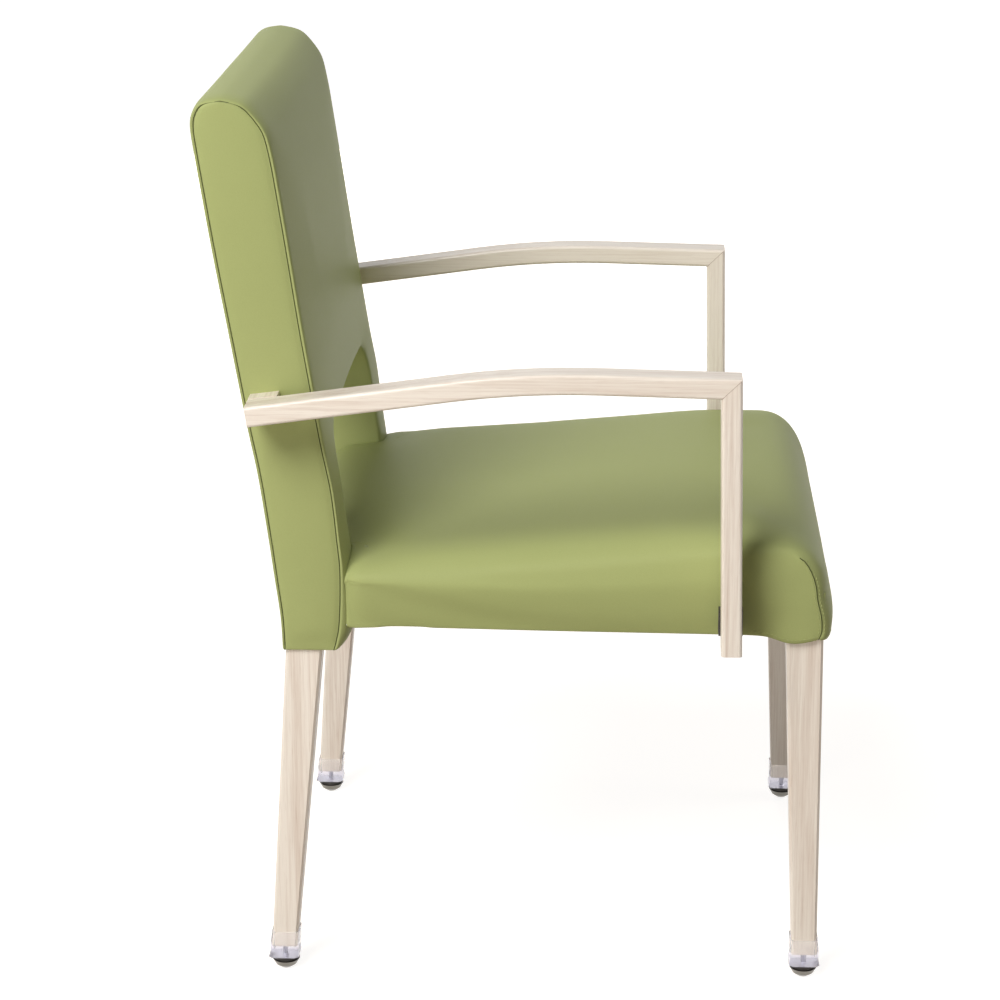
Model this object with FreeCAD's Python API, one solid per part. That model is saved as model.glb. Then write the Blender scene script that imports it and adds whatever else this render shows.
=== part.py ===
import FreeCAD
import Part

import math
import os

# Upholstered armchair with an aluminium tube frame, mitred tube arms and swivel glides.
# Millimetres. X runs across the seat, +X to the sitter's left. The sitter faces -Y. Z is up from the floor.

# Fits and materials
SLIP = 0.3            # clear space left round a piece that passes through upholstery
SNUG = 0.1            # clear space round a bolt, a screw or a leg tip in its hole
RUNNING = 0.05        # radial play of the glide's ball and of its turning base
VINYL = 1.5           # cover thickness

# Glides and boots, stacked upward from the floor
GLIDE_DIAMETER = 28.5
GLIDE_FLAT_DIAMETER = 12.0
GLIDE_HEIGHT = 9.6
GLIDE_TILT_DEG = 7.0
GLIDE_DOME_STEPS = 2
COLLAR_DIAMETER = 23.2
COLLAR_HEIGHT = 4.0
BALL_DIAMETER = 9.0
BALL_Z = 9.0
STUD_DIAMETER = 6.0
BOOT_GAP = 2.0
BOOT_FLOOR = 12.5
BOOT_SLEEVE = 16.0
BOOT_WALL = 1.4
BOOT_FLARE = 1.9
BOOT_WAIST_RISE = 6.0
BOOT_WAIST_SHARE = 0.2      # of the flare
BOOT_SWELL_SHARE = 0.45     # of the flare, round the leg's end
BOOT_CORNER = 4.0

# Legs and uprights
LEG_TIP_SIDE = 25.6
LEG_HEAD_WIDTH = 32.0
LEG_HEAD_DEPTH = 37.0
LEG_WALL = 2.5
LEG_CORNER = 2.5
LEG_TOE_OUT = 1.8
FRONT_LEG_RAKE = 8.6
REAR_LEG_RAKE = 28.2
UPRIGHT_TOP_DEPTH = 30.0

# Seat: depth is from its front to the face of the back, and the back's face sets the part over the origin
BACK_FACE_Y = 189.4
SEAT_DEPTH = 506.4
SEAT_TAIL = 43.1
SEAT_WIDTH = 524.0
SEAT_BOTTOM_Z = 379.0
SEAT_HEIGHT = 103.5
SEAT_PITCH_DEG = 4.85
SEAT_CROWN = 7.0
SEAT_EDGE_RADIUS = 30.0
SEAT_CORNER_TUCK = 20.0
SEAT_HEM_TUCK = 3.0
SEAT_HEM_RISE = 3.8
SEAT_TOE_RADIUS = 8.5
SEAT_NOSE_RADIUS = 52.0
SEAT_NOSE_SETBACK = 6.0
SEAT_KNEE_RUN = 156.0
SEAT_LAP_RUN = 312.0
SEAT_TAIL_RADIUS = 26.0
SEAT_SIDE_PAD = 10.0
SEAT_FRONT_PAD = 9.6
LEG_HEM_DROP = 7.5
LEG_HEM_RUN = 30.0

# Seat frame
RAIL_HEIGHT = 30.0
RAIL_THICKNESS = 20.0
RAIL_WALL = 2.0
HEM_LIP = 4.0
BRACE_LEG = 40.0
BRACE_THICKNESS = 4.0
BOARD_THICKNESS = 10.0
DUST_THICKNESS = 1.0
SCREW_DIAMETER = 5.0
SCREW_HEAD_DIAMETER = 10.0
SCREW_HEAD_HEIGHT = 2.0
SCREW_BITE = 7.0
SCREW_SPREAD = 0.7

# Back: heights are from its hem, and set-forwards are from its face at the bend
BACK_HEM_DROP = 19.0
BACK_TOE_RISE = 30.0
BACK_WAIST_RISE = 70.0
BACK_BEND_RISE = 200.0
BACK_HEIGHT = 556.0
BACK_THICKNESS = 73.9
BACK_HEM_THICKNESS = 57.1
BACK_HEM_FORWARD = 8.4
BACK_TOE_FORWARD = 12.4
BACK_WAIST_FORWARD = 14.5
BACK_FRONT_BOW = 2.6
BACK_REAR_BOW = 4.0
BACK_FRONT_LEAN_DEG = 8.5
BACK_REAR_LEAN_DEG = 8.96
BACK_NOSE_DROP = 44.0
BACK_CREST_DEPTH = 50.0
BACK_HEEL_DROP = 30.0
BACK_SIDE_PAD = 3.0
BACK_EDGE_RADIUS = 27.0
BACK_CROWN = 1.6
# How far the stuffing swells each place past the side seams
BACK_FACE_PUFF = 3.0
BACK_HEM_PUFF = 2.0
BACK_TOE_PUFF = 11.7
BACK_WAIST_PUFF = 7.0
BACK_REAR_PUFF = 1.0
BACK_TOP_PUFF = 6.0
ARCH_HALF_WIDTH = 185.0
ARCH_HEIGHT = 220.0
ARCH_RISE = 6.0
ARCH_CORNER = 40.0
BACK_BOARD_THICKNESS = 8.0
OUTER_BOARD_THICKNESS = 3.0
BACK_RAIL_HEIGHT = 28.0
BACK_RAIL_DEPTH = 22.0
BACK_RAIL_DROP = 42.0
BACK_TOP_COVERING = 50.0
LEG_HEM_COVERING = 3.8

# Arms: heights are from the seat
ARM_GAP = 14.0
ARM_WIDTH = 33.0
ARM_DEPTH = 20.5
ARM_WALL = 2.5
ARM_EDGE_RADIUS = 3.5
ARM_RISE = 178.8
ARM_REAR_INSET = 1.1
ARM_FRONT_RUN = 210.9
ARM_BEND_RADIUS = 930.0
ARM_REAR_SLOPE_DEG = 7.8
ARM_FRONT_SLOPE_DEG = 1.4
ARM_RETURN_LENGTH = 29.0
POST_SETBACK = 98.3
POST_LEAN_DEG = 1.05
POST_DROP = 2.0
PLUG_THICKNESS = 3.0
SPACER_WIDTH = 24.0
SPACER_HEIGHT = 26.0
BOLT_DIAMETER = 8.0
BOLT_HEAD_DIAMETER = 13.0
BOLT_HEAD_HEIGHT = 5.0
BOLT_BITE = 12.0

# Values worked out from the driving dimensions
COLLAR_TOP_Z = GLIDE_HEIGHT + COLLAR_HEIGHT
BOOT_BOTTOM_Z = COLLAR_TOP_Z + BOOT_GAP
LEG_TIP_Z = BOOT_BOTTOM_Z + BOOT_FLOOR
BOOT_TOP_Z = LEG_TIP_Z + BOOT_SLEEVE
SEAT_FRONT_Y = BACK_FACE_Y - SEAT_DEPTH
SEAT_REAR_Y = BACK_FACE_Y + SEAT_TAIL
SEAT_CREST_Z = SEAT_BOTTOM_Z + SEAT_HEIGHT
SEAT_HALF = SEAT_WIDTH / 2
SEAT_PITCH = math.tan(math.radians(SEAT_PITCH_DEG))
BACK_HEM_Z = SEAT_BOTTOM_Z - BACK_HEM_DROP
BACK_TOE_Z = BACK_HEM_Z + BACK_TOE_RISE
BACK_WAIST_Z = BACK_HEM_Z + BACK_WAIST_RISE
BACK_BEND_Z = BACK_HEM_Z + BACK_BEND_RISE
BACK_TOP_Z = BACK_HEM_Z + BACK_HEIGHT
ARCH_TOP_Z = BACK_HEM_Z + ARCH_HEIGHT
BACK_REAR_Y = BACK_FACE_Y + BACK_THICKNESS
BACK_HEM_FRONT_Y = BACK_FACE_Y - BACK_HEM_FORWARD
BACK_HEM_REAR_Y = BACK_HEM_FRONT_Y + BACK_HEM_THICKNESS
BACK_TOE_Y = BACK_FACE_Y - BACK_TOE_FORWARD
FRONT_LEAN = math.tan(math.radians(BACK_FRONT_LEAN_DEG))
REAR_LEAN = math.tan(math.radians(BACK_REAR_LEAN_DEG))
NOTCH_Y = BACK_TOE_Y - BACK_TOE_PUFF - 2 * VINYL
LEG_OUTER_X = SEAT_HALF - SEAT_SIDE_PAD
LEG_INNER_X = LEG_OUTER_X - LEG_HEAD_WIDTH
LEG_CENTRE_X = (LEG_OUTER_X + LEG_INNER_X) / 2
LEG_HEM_Z = SEAT_BOTTOM_Z - LEG_HEM_DROP
FRONT_HEAD_Y = SEAT_FRONT_Y + SEAT_FRONT_PAD + LEG_HEAD_DEPTH / 2
REAR_HEM_Y = BACK_HEM_REAR_Y - LEG_HEM_COVERING - LEG_HEAD_DEPTH / 2
FOOT_X = LEG_CENTRE_X + LEG_TOE_OUT
FOOT_FRONT_Y = FRONT_HEAD_Y - FRONT_LEG_RAKE
FOOT_REAR_Y = REAR_HEM_Y + REAR_LEG_RAKE
BACK_HALF = LEG_OUTER_X + BACK_SIDE_PAD
RAIL_BOTTOM_Z = SEAT_BOTTOM_Z + SEAT_HEM_RISE + VINYL + DUST_THICKNESS + SLIP
RAIL_TOP_Z = RAIL_BOTTOM_Z + RAIL_HEIGHT
RAIL_MID_Z = RAIL_BOTTOM_Z + RAIL_HEIGHT / 2
BOARD_TOP_Z = RAIL_TOP_Z + BOARD_THICKNESS
UPRIGHT_WAIST_Z = (BACK_HEM_Z + BACK_BEND_Z) / 2
UPRIGHT_TOP_Z = BACK_TOP_Z - BACK_TOP_COVERING
UPRIGHT_COVERING = VINYL + OUTER_BOARD_THICKNESS + 2 * SLIP
ARM_INNER_X = SEAT_HALF + ARM_GAP
ARM_OUTER_X = ARM_INNER_X + ARM_WIDTH
ARM_TOP_Z = SEAT_CREST_Z + ARM_RISE
ARM_REAR_Y = BACK_REAR_Y - ARM_REAR_INSET
POST_FRONT_Y = SEAT_FRONT_Y + POST_SETBACK
POST_BOTTOM_Z = SEAT_BOTTOM_Z - POST_DROP
ARM_BEND_Y = POST_FRONT_Y + ARM_FRONT_RUN
EDGE_TURNS_DEG = (90, 45, 0)
FAR = 1000.0          # longer than any piece


def vec(x, y, z):
    return FreeCAD.Vector(x, y, z)


def block(x0, x1, y0, y1, z0, z1):
    return Part.makeBox(x1 - x0, y1 - y0, z1 - z0, vec(x0, y0, z0))


def mirrored(shape):
    """The same piece on the sitter's right."""
    return shape.mirror(vec(0, 0, 0), vec(1, 0, 0))


def both_sides(shape):
    return shape.fuse(mirrored(shape))


def chain(points, place):
    """A closed wire: a point draws a line, a pair of points draws an arc through the first to the second."""
    edges = []
    here = points[0]
    steps = list(points[1:])
    last = steps[-1]
    if not isinstance(last[0], tuple) or last[1] != points[0]:
        steps.append(points[0])
    for step in steps:
        if isinstance(step[0], tuple):
            edges.append(Part.Arc(place(*here), place(*step[0]), place(*step[1])).toShape())
            here = step[1]
        else:
            edges.append(Part.LineSegment(place(*here), place(*step)).toShape())
            here = step
    return Part.Wire(edges)


def side_prism(points, x0, x1):
    """A side-view outline of (y, z) points, carried across from x0 to x1."""
    face = Part.Face(chain(points, lambda y, z: vec(x0, y, z)))
    return face.extrude(vec(x1 - x0, 0, 0))


def turned(points, x, y):
    """A (radius, z) outline turned about the upright axis at x, y."""
    face = Part.Face(chain(points, lambda r, z: vec(r, 0, z)))
    return face.revolve(vec(0, 0, 0), vec(0, 0, 1), 360).translated(vec(x, y, 0))


def rod(x0, x1, y, z, diameter):
    return Part.makeCylinder(diameter / 2, x1 - x0, vec(x0, y, z), vec(1, 0, 0))


def pin(x, y, z0, z1, diameter):
    return Part.makeCylinder(diameter / 2, z1 - z0, vec(x, y, z0))


def level_section(z, x, y, width, depth, corner):
    """The corners of a level rectangle, each taken off."""
    half_x = width / 2
    half_y = depth / 2
    flat_x = half_x - corner
    flat_y = half_y - corner
    first = [(flat_x, -half_y), (half_x, -flat_y), (half_x, flat_y), (flat_x, half_y)]
    last = [(-across, -deep) for across, deep in first]
    return [vec(x + across, y + deep, z) for across, deep in first + last]


def bar(stations, grow=0.0, corner=LEG_CORNER):
    """A flat-sided bar through level rectangles (z, centre x, centre y, width, depth)."""
    rings = [level_section(z, x, y, w + 2 * grow, d + 2 * grow, corner) for z, x, y, w, d in stations]
    outlines = [rings[0], rings[-1]]
    for low, high in zip(rings, rings[1:]):
        for side in range(len(low)):
            outlines.append([low[side - 1], low[side], high[side], high[side - 1]])
    faces = [Part.Face(Part.makePolygon(outline + outline[:1])) for outline in outlines]
    solid = Part.makeSolid(Part.makeShell(faces))
    solid.fix(SNUG, SNUG, SNUG)
    return solid


def tube(stations):
    """The bar with its wall, open at both ends."""
    return bar(stations).cut(bar(stations, -LEG_WALL, LEG_CORNER / 2))


def between(stations, z):
    """The bar's section at height z, on the line through its two nearest stations."""
    for low, high in zip(stations, stations[1:]):
        if z <= high[0]:
            break
    share = (z - low[0]) / (high[0] - low[0])
    return (z,) + tuple(a + share * (b - a) for a, b in zip(low[1:], high[1:]))


def quarter(upright, level):
    """The middle of a quarter round that is upright at its first end and level at its second."""
    share = math.sqrt(0.5)
    return (upright[0] + (1 - share) * (level[0] - upright[0]), upright[1] + share * (level[1] - upright[1]))


# Back outline in side view

def back_front_y(z):
    return BACK_FACE_Y + (z - BACK_BEND_Z) * FRONT_LEAN


def back_rear_y(z):
    return BACK_REAR_Y + (z - BACK_BEND_Z) * REAR_LEAN


def back_waist_rear_y():
    """The rear outline half way up its lower bend, which bows forward of the straight line."""
    return (BACK_HEM_REAR_Y + BACK_REAR_Y) / 2 - BACK_REAR_BOW


def back_profile(fill, crown, inset):
    """The back's side outline: fill is 0 at the side seams and 1 on the pad, crown swells its face."""
    front = inset - fill * BACK_FACE_PUFF - crown
    rear = fill * BACK_REAR_PUFF - inset
    hem = BACK_HEM_Z + inset
    top = BACK_TOP_Z + fill * BACK_TOP_PUFF - inset
    toe_y = BACK_TOE_Y - fill * BACK_TOE_PUFF + inset
    waist = (BACK_FACE_Y - BACK_WAIST_FORWARD - fill * BACK_WAIST_PUFF + inset, BACK_WAIST_Z)
    bend = (BACK_FACE_Y + front, BACK_BEND_Z)
    bow = BACK_FRONT_BOW * (1 - fill) + SLIP
    above_waist = ((waist[0] + bend[0]) / 2 - bow, (BACK_WAIST_Z + BACK_BEND_Z) / 2)
    nose_z = top - BACK_NOSE_DROP
    heel_z = top - BACK_HEEL_DROP
    nose = (back_front_y(nose_z) + front, nose_z)
    crest = (back_front_y(top) + front + BACK_CREST_DEPTH, top)
    heel = (back_rear_y(heel_z) + rear, heel_z)
    hem_rear = (BACK_HEM_REAR_Y + rear, hem)
    return [
        hem_rear,
        (BACK_HEM_FRONT_Y - fill * BACK_HEM_PUFF + inset, hem),
        ((toe_y, BACK_TOE_Z), waist),
        (above_waist, bend),
        nose,
        (quarter(nose, crest), crest),
        (quarter(heel, crest), heel),
        (BACK_REAR_Y + rear, BACK_BEND_Z),
        ((back_waist_rear_y() + rear, UPRIGHT_WAIST_Z), hem_rear),
    ]


def edge_stations(half_width, radius):
    """Places across a cushion (x, fall): fall is 1 at the side seam and 0 where the face is level."""
    turns = [math.radians(angle) for angle in EDGE_TURNS_DEG]
    side = [(half_width - radius * (1 - math.sin(turn)), 1 - math.cos(turn)) for turn in turns]
    level = [((half_width - radius) / 2, 0.0), (0.0, 0.0)]
    right = side + level
    return [(-x, fall) for x, fall in right] + [(x, fall) for x, fall in reversed(right[:-1])]


def back_form(inset):
    wires = []
    level = BACK_HALF - BACK_EDGE_RADIUS
    for x, fall in edge_stations(BACK_HALF, BACK_EDGE_RADIUS):
        crown = BACK_CROWN * max(0.0, 1 - (x / level) ** 2)
        outline = back_profile(1 - fall, crown, inset)
        wires.append(chain(outline, lambda y, z, x=x: vec(x, y, z)))
    return Part.makeLoft(wires, True, True)


def arch(grow):
    """The clean-out opening under the back, open downward, widened by grow."""
    side = ARCH_HALF_WIDTH + grow
    spring = ARCH_TOP_Z - ARCH_RISE + grow
    corner = ARCH_CORNER + grow
    cut = corner * (1 - math.sqrt(0.5))
    points = [
        (side, BACK_HEM_Z - FAR), (side, spring - corner),
        ((side - cut, spring - cut), (side - corner, spring)),
        ((0.0, ARCH_TOP_Z + grow), (corner - side, spring)),
        ((cut - side, spring - cut), (-side, spring - corner)), (-side, BACK_HEM_Z - FAR),
    ]
    face = Part.Face(chain(points, lambda x, z: vec(x, -FAR, z)))
    return face.extrude(vec(0, 2 * FAR, 0))


# Seat outline in side view

def seat_top_z(y):
    level_to = SEAT_FRONT_Y + 2 * SEAT_NOSE_RADIUS
    return SEAT_CREST_Z - max(0.0, y - level_to) * SEAT_PITCH


def seat_profile(drop, tuck, lift, inset):
    """The seat's side outline: drop lowers the top, tuck draws the front in, lift raises the hem."""
    front = SEAT_FRONT_Y + tuck + inset
    rear = SEAT_REAR_Y - inset
    hem = SEAT_BOTTOM_Z + lift + inset
    lower = drop + inset
    top = SEAT_CREST_Z - lower
    leg_rear = FRONT_HEAD_Y + LEG_HEAD_DEPTH / 2
    toe_hem = hem - LEG_HEM_DROP / 2
    toe_low = (front + SEAT_TOE_RADIUS, toe_hem)
    toe_high = (front, toe_hem + SEAT_TOE_RADIUS)
    toe_middle = (quarter(toe_high, toe_low)[0], toe_hem + SEAT_TOE_RADIUS * (1 - math.sqrt(0.5)))
    nose = (front + SEAT_NOSE_SETBACK, top - SEAT_NOSE_RADIUS)
    crest = (front + SEAT_NOSE_RADIUS, top)
    knee_y = front + SEAT_KNEE_RUN
    lap_y = front + SEAT_LAP_RUN
    tail = (rear - SEAT_TAIL_RADIUS, seat_top_z(rear - SEAT_TAIL_RADIUS) - lower)
    tail_end = (rear, tail[1] - SEAT_TAIL_RADIUS)
    return [
        (rear, hem + SEAT_HEM_RISE),
        (leg_rear + LEG_HEM_RUN, hem),
        (leg_rear - LEG_HEM_DROP / 2, hem - LEG_HEM_DROP),
        toe_low,
        (toe_middle, toe_high),
        nose,
        (quarter(nose, crest), crest),
        ((knee_y, seat_top_z(knee_y) - lower), (lap_y, seat_top_z(lap_y) - lower)),
        tail,
        (quarter(tail_end, tail), tail_end),
    ]


def seat_form(inset):
    wires = []
    half = SEAT_HALF - inset
    level = half - SEAT_EDGE_RADIUS
    for x, fall in edge_stations(half, SEAT_EDGE_RADIUS):
        crown = SEAT_CROWN * max(0.0, 1 - (x / level) ** 2)
        drop = SEAT_EDGE_RADIUS * fall - crown
        outline = seat_profile(drop, SEAT_CORNER_TUCK * fall, SEAT_HEM_TUCK * fall, inset)
        wires.append(chain(outline, lambda y, z, x=x: vec(x, y, z)))
    return Part.makeLoft(wires, True, True)


def arm_line(depth_below_top):
    """The arm's long bend, depth_below_top under its top edge, as the two runs' tangent points."""
    rear = math.radians(ARM_REAR_SLOPE_DEG)
    front = math.radians(ARM_FRONT_SLOPE_DEG)
    run_rear = (-math.cos(rear), math.sin(rear))
    run_front = (-math.cos(front), -math.sin(front))
    down_rear = (-run_rear[1], run_rear[0])
    down_front = (-run_front[1], run_front[0])
    turn = (rear + front) / 2
    radius = ARM_BEND_RADIUS - depth_below_top
    peak_z = ARM_TOP_Z + ARM_BEND_RADIUS * (1 / math.cos(turn) - 1)
    share = depth_below_top / (1 + down_rear[0] * down_front[0] + down_rear[1] * down_front[1])
    middle_y = down_rear[0] + down_front[0]
    middle_z = down_rear[1] + down_front[1]
    peak = (ARM_BEND_Y + share * middle_y, peak_z + share * middle_z)
    reach = radius * math.tan(turn)
    start = (peak[0] - reach * run_rear[0], peak[1] - reach * run_rear[1])
    end = (peak[0] + reach * run_front[0], peak[1] + reach * run_front[1])
    sag = radius * (1 / math.cos(turn) - 1)
    length = math.hypot(middle_y, middle_z)
    middle = (peak[0] + sag * middle_y / length, peak[1] + sag * middle_z / length)
    return run_rear, run_front, down_rear, start, middle, end


def along(point, direction, length):
    return (point[0] + direction[0] * length, point[1] + direction[1] * length)


def arm_rear_end(depth_below_top, short):
    """The point on the rear end cut, square to the rear run, short of it by a length."""
    run_rear, _, down_rear, start, _, _ = arm_line(depth_below_top)
    top_run, _, _, top_start, _, _ = arm_line(0.0)
    reach = (ARM_REAR_Y - top_start[0]) / -top_run[0]
    corner = along(top_start, top_run, -reach)
    return along(along(corner, down_rear, depth_below_top), run_rear, short)


def arm_outline(inset, front_reach, rear_short):
    """The arm rail's side outline from its rear end to front_reach past the bend."""
    _, run_front, _, start, middle, end = arm_line(inset)
    _, _, _, low_start, low_middle, low_end = arm_line(ARM_DEPTH - inset)
    return [
        arm_rear_end(inset, rear_short), start, (middle, end), along(end, run_front, front_reach),
        along(low_end, run_front, front_reach), low_end, (low_middle, low_start),
        arm_rear_end(ARM_DEPTH - inset, rear_short),
    ]


def round_long_edges(solid):
    """The arm's tube has round edges along its length."""
    edges = [edge for edge in solid.Edges if edge.BoundBox.XLength < SLIP and edge.Length > 2 * ARM_DEPTH]
    return solid.makeFillet(ARM_EDGE_RADIUS, edges)


def crossing(point_a, run_a, point_b, run_b):
    """Where two lines in side view cross."""
    det = run_a[0] * run_b[1] - run_a[1] * run_b[0]
    dy = point_b[0] - point_a[0]
    dz = point_b[1] - point_a[1]
    return along(point_a, run_a, (dy * run_b[1] - dz * run_b[0]) / det)


lean = math.radians(POST_LEAN_DEG)
POST_RUN = (math.sin(lean), math.cos(lean))
POST_BACKWARD = (math.cos(lean), -math.sin(lean))
POST_FRONT = (POST_FRONT_Y, ARM_TOP_Z)
POST_REAR = along(POST_FRONT, POST_BACKWARD, ARM_DEPTH)


def mitre_side(toward_post):
    """All space on one side of the plane where the arm rail meets the post."""
    _, run_front, _, _, _, end = arm_line(0.0)
    _, _, _, _, _, low_end = arm_line(ARM_DEPTH)
    outer = crossing(end, run_front, POST_FRONT, POST_RUN)
    inner = crossing(low_end, run_front, POST_REAR, POST_RUN)
    length = math.hypot(inner[0] - outer[0], inner[1] - outer[1])
    line = ((inner[0] - outer[0]) / length, (inner[1] - outer[1]) / length)
    away = (line[1], -line[0]) if toward_post else (-line[1], line[0])
    first = along(outer, line, -FAR)
    last = along(inner, line, FAR)
    return side_prism([first, last, along(last, away, FAR), along(first, away, FAR)], -FAR, FAR)


def post_outline(inset, foot_z, top_z):
    front = along(POST_FRONT, POST_BACKWARD, inset)
    rear = along(POST_REAR, POST_BACKWARD, -inset)
    level = (1.0, 0.0)
    foot = (0.0, foot_z)
    head = (0.0, top_z)
    return [
        crossing(front, POST_RUN, foot, level), crossing(rear, POST_RUN, foot, level),
        crossing(rear, POST_RUN, head, level), crossing(front, POST_RUN, head, level),
    ]


nodes = {}


def add_pair(name, left_piece):
    nodes[name + "_left"] = left_piece
    nodes[name + "_right"] = mirrored(left_piece)


# Legs: a tapered square tube each; the rear ones run on upward inside the back
front_leg = [
    (LEG_TIP_Z, FOOT_X, FOOT_FRONT_Y, LEG_TIP_SIDE, LEG_TIP_SIDE),
    (LEG_HEM_Z, LEG_CENTRE_X, FRONT_HEAD_Y, LEG_HEAD_WIDTH, LEG_HEAD_DEPTH),
    (RAIL_TOP_Z, LEG_CENTRE_X, FRONT_HEAD_Y, LEG_HEAD_WIDTH, LEG_HEAD_DEPTH),
]
upright_waist_y = back_waist_rear_y() - UPRIGHT_COVERING - LEG_HEAD_DEPTH / 2
upright_bend_y = BACK_REAR_Y - UPRIGHT_COVERING - LEG_HEAD_DEPTH / 2
upright_top_y = back_rear_y(UPRIGHT_TOP_Z) - UPRIGHT_COVERING - UPRIGHT_TOP_DEPTH / 2
rear_leg = [
    (LEG_TIP_Z, FOOT_X, FOOT_REAR_Y, LEG_TIP_SIDE, LEG_TIP_SIDE),
    (BACK_HEM_Z, LEG_CENTRE_X, REAR_HEM_Y, LEG_HEAD_WIDTH, LEG_HEAD_DEPTH),
    (UPRIGHT_WAIST_Z, LEG_CENTRE_X, upright_waist_y, LEG_HEAD_WIDTH, LEG_HEAD_DEPTH),
    (BACK_BEND_Z, LEG_CENTRE_X, upright_bend_y, LEG_HEAD_WIDTH, LEG_HEAD_DEPTH),
    (UPRIGHT_TOP_Z, LEG_CENTRE_X, upright_top_y, LEG_HEAD_WIDTH, UPRIGHT_TOP_DEPTH),
]
front_leg_bar = bar(front_leg)
rear_leg_bar = bar(rear_leg)
front_leg_tube = tube(front_leg)
rear_leg_tube = tube(rear_leg)


def upright_front_y(z):
    _, _, y, _, depth = between(rear_leg, z)
    return y - depth / 2


# Seat rails: channels welded between the leg heads, open downward
side_rail_x = LEG_OUTER_X - RAIL_THICKNESS
front_leg_rear = FRONT_HEAD_Y + LEG_HEAD_DEPTH / 2
front_rail_y = FRONT_HEAD_Y - RAIL_THICKNESS / 2
rear_rail_y = between(rear_leg, RAIL_MID_Z)[2] - RAIL_THICKNESS / 2


def rail(x0, x1, y0, y1, wall_x, wall_y):
    """A channel with walls on the two sides that have a wall thickness."""
    core = block(x0 + wall_x, x1 - wall_x, y0 + wall_y, y1 - wall_y, RAIL_BOTTOM_Z, RAIL_TOP_Z - RAIL_WALL)
    return block(x0, x1, y0, y1, RAIL_BOTTOM_Z, RAIL_TOP_Z).cut(core)


rear_leg_y = between(rear_leg, RAIL_MID_Z)[2]
side_rail = rail(side_rail_x, LEG_OUTER_X, front_leg_rear, rear_leg_y, RAIL_WALL, 0.0).cut(rear_leg_bar)
front_rail = rail(-LEG_INNER_X, LEG_INNER_X, front_rail_y, front_rail_y + RAIL_THICKNESS, 0.0, RAIL_WALL)
rear_rail = rail(-LEG_INNER_X, LEG_INNER_X, rear_rail_y, rear_rail_y + RAIL_THICKNESS, 0.0, RAIL_WALL)


# Braces: a gusset plate in each front corner of the seat frame
brace_y = front_rail_y + RAIL_THICKNESS
brace_z = RAIL_MID_Z - BRACE_THICKNESS / 2
brace_corners = [
    (LEG_INNER_X - BRACE_LEG, brace_y), (side_rail_x, brace_y), (side_rail_x, front_leg_rear + BRACE_LEG),
]
brace_face = Part.Face(chain(brace_corners, lambda x, y: vec(x, y, brace_z)))
brace = brace_face.extrude(vec(0, 0, BRACE_THICKNESS)).cut(front_leg_bar)
nodes["corner_braces"] = Part.makeCompound([brace, mirrored(brace)])


# Seat board: plywood on the rails, notched round the uprights' upholstery

def seat_notches(grow):
    """The space that the back's two lower ends take out of the seat's rear corners."""
    return both_sides(block(ARCH_HALF_WIDTH - SLIP - grow, FAR, NOTCH_Y - grow, FAR, -FAR, FAR))


rear_rail_back = rear_rail_y + RAIL_THICKNESS
seat_board = block(-LEG_OUTER_X, LEG_OUTER_X, front_rail_y, rear_rail_back, RAIL_TOP_Z, BOARD_TOP_Z)
seat_board = seat_board.cut(seat_notches(VINYL + SLIP))

# Seat screws: up through the front and rear rails into the board
screw_head_z = RAIL_TOP_Z - RAIL_WALL
screw_tip_z = RAIL_TOP_Z + SCREW_BITE
screws = []
clear_holes = []
for side in (-1, 1):
    for spread, y in ((LEG_INNER_X, front_rail_y), (ARCH_HALF_WIDTH, rear_rail_y)):
        place = (side * spread * SCREW_SPREAD, y + RAIL_THICKNESS / 2)
        head = pin(*place, screw_head_z - SCREW_HEAD_HEIGHT, screw_head_z, SCREW_HEAD_DIAMETER)
        screws.append(head.fuse(pin(*place, screw_head_z, screw_tip_z, SCREW_DIAMETER)))
        clear_holes.append(pin(*place, screw_head_z, RAIL_TOP_Z, SCREW_DIAMETER + 2 * SNUG))
nodes["seat_screws"] = Part.makeCompound(screws)
nodes["seat_board"] = seat_board.cut(screws)
nodes["seat_rail_front"] = front_rail.cut(clear_holes)
nodes["seat_rail_rear"] = rear_rail.cut(clear_holes)

# Arms: rail and post mitred at the front corner, return stub at the rear, spacer at the seat
wall = ARM_WALL
arm_bar = round_long_edges(side_prism(arm_outline(0.0, FAR, 0.0), ARM_INNER_X, ARM_OUTER_X))
arm_core = side_prism(arm_outline(wall, FAR, wall), ARM_INNER_X + wall, ARM_OUTER_X - wall)
add_pair("arm_rail", arm_bar.cut(arm_core).cut(mitre_side(True)))

post_bar = round_long_edges(side_prism(post_outline(0.0, POST_BOTTOM_Z, FAR), ARM_INNER_X, ARM_OUTER_X))
post_core = side_prism(post_outline(wall, POST_BOTTOM_Z, FAR), ARM_INNER_X + wall, ARM_OUTER_X - wall)
post = post_bar.cut(post_core).cut(mitre_side(False))
plug_top = POST_BOTTOM_Z + PLUG_THICKNESS
plug_in = wall + SNUG
plug_outline = post_outline(plug_in, POST_BOTTOM_Z, plug_top)
add_pair("post_plug", side_prism(plug_outline, ARM_INNER_X + plug_in, ARM_OUTER_X - plug_in))

post_corners = post_outline(0.0, RAIL_MID_Z, FAR)
post_mid_y = (post_corners[0][0] + post_corners[1][0]) / 2
return_mid = arm_rear_end(ARM_DEPTH / 2, ARM_RETURN_LENGTH / 2)


def bolt(x_head, x_tip, y, z):
    """A bolt along X: its head ends at x_head, its shank at x_tip."""
    head = rod(x_head - BOLT_HEAD_HEIGHT, x_head, y, z, BOLT_HEAD_DIAMETER)
    return head.fuse(rod(x_head, x_tip, y, z, BOLT_DIAMETER))


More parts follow.
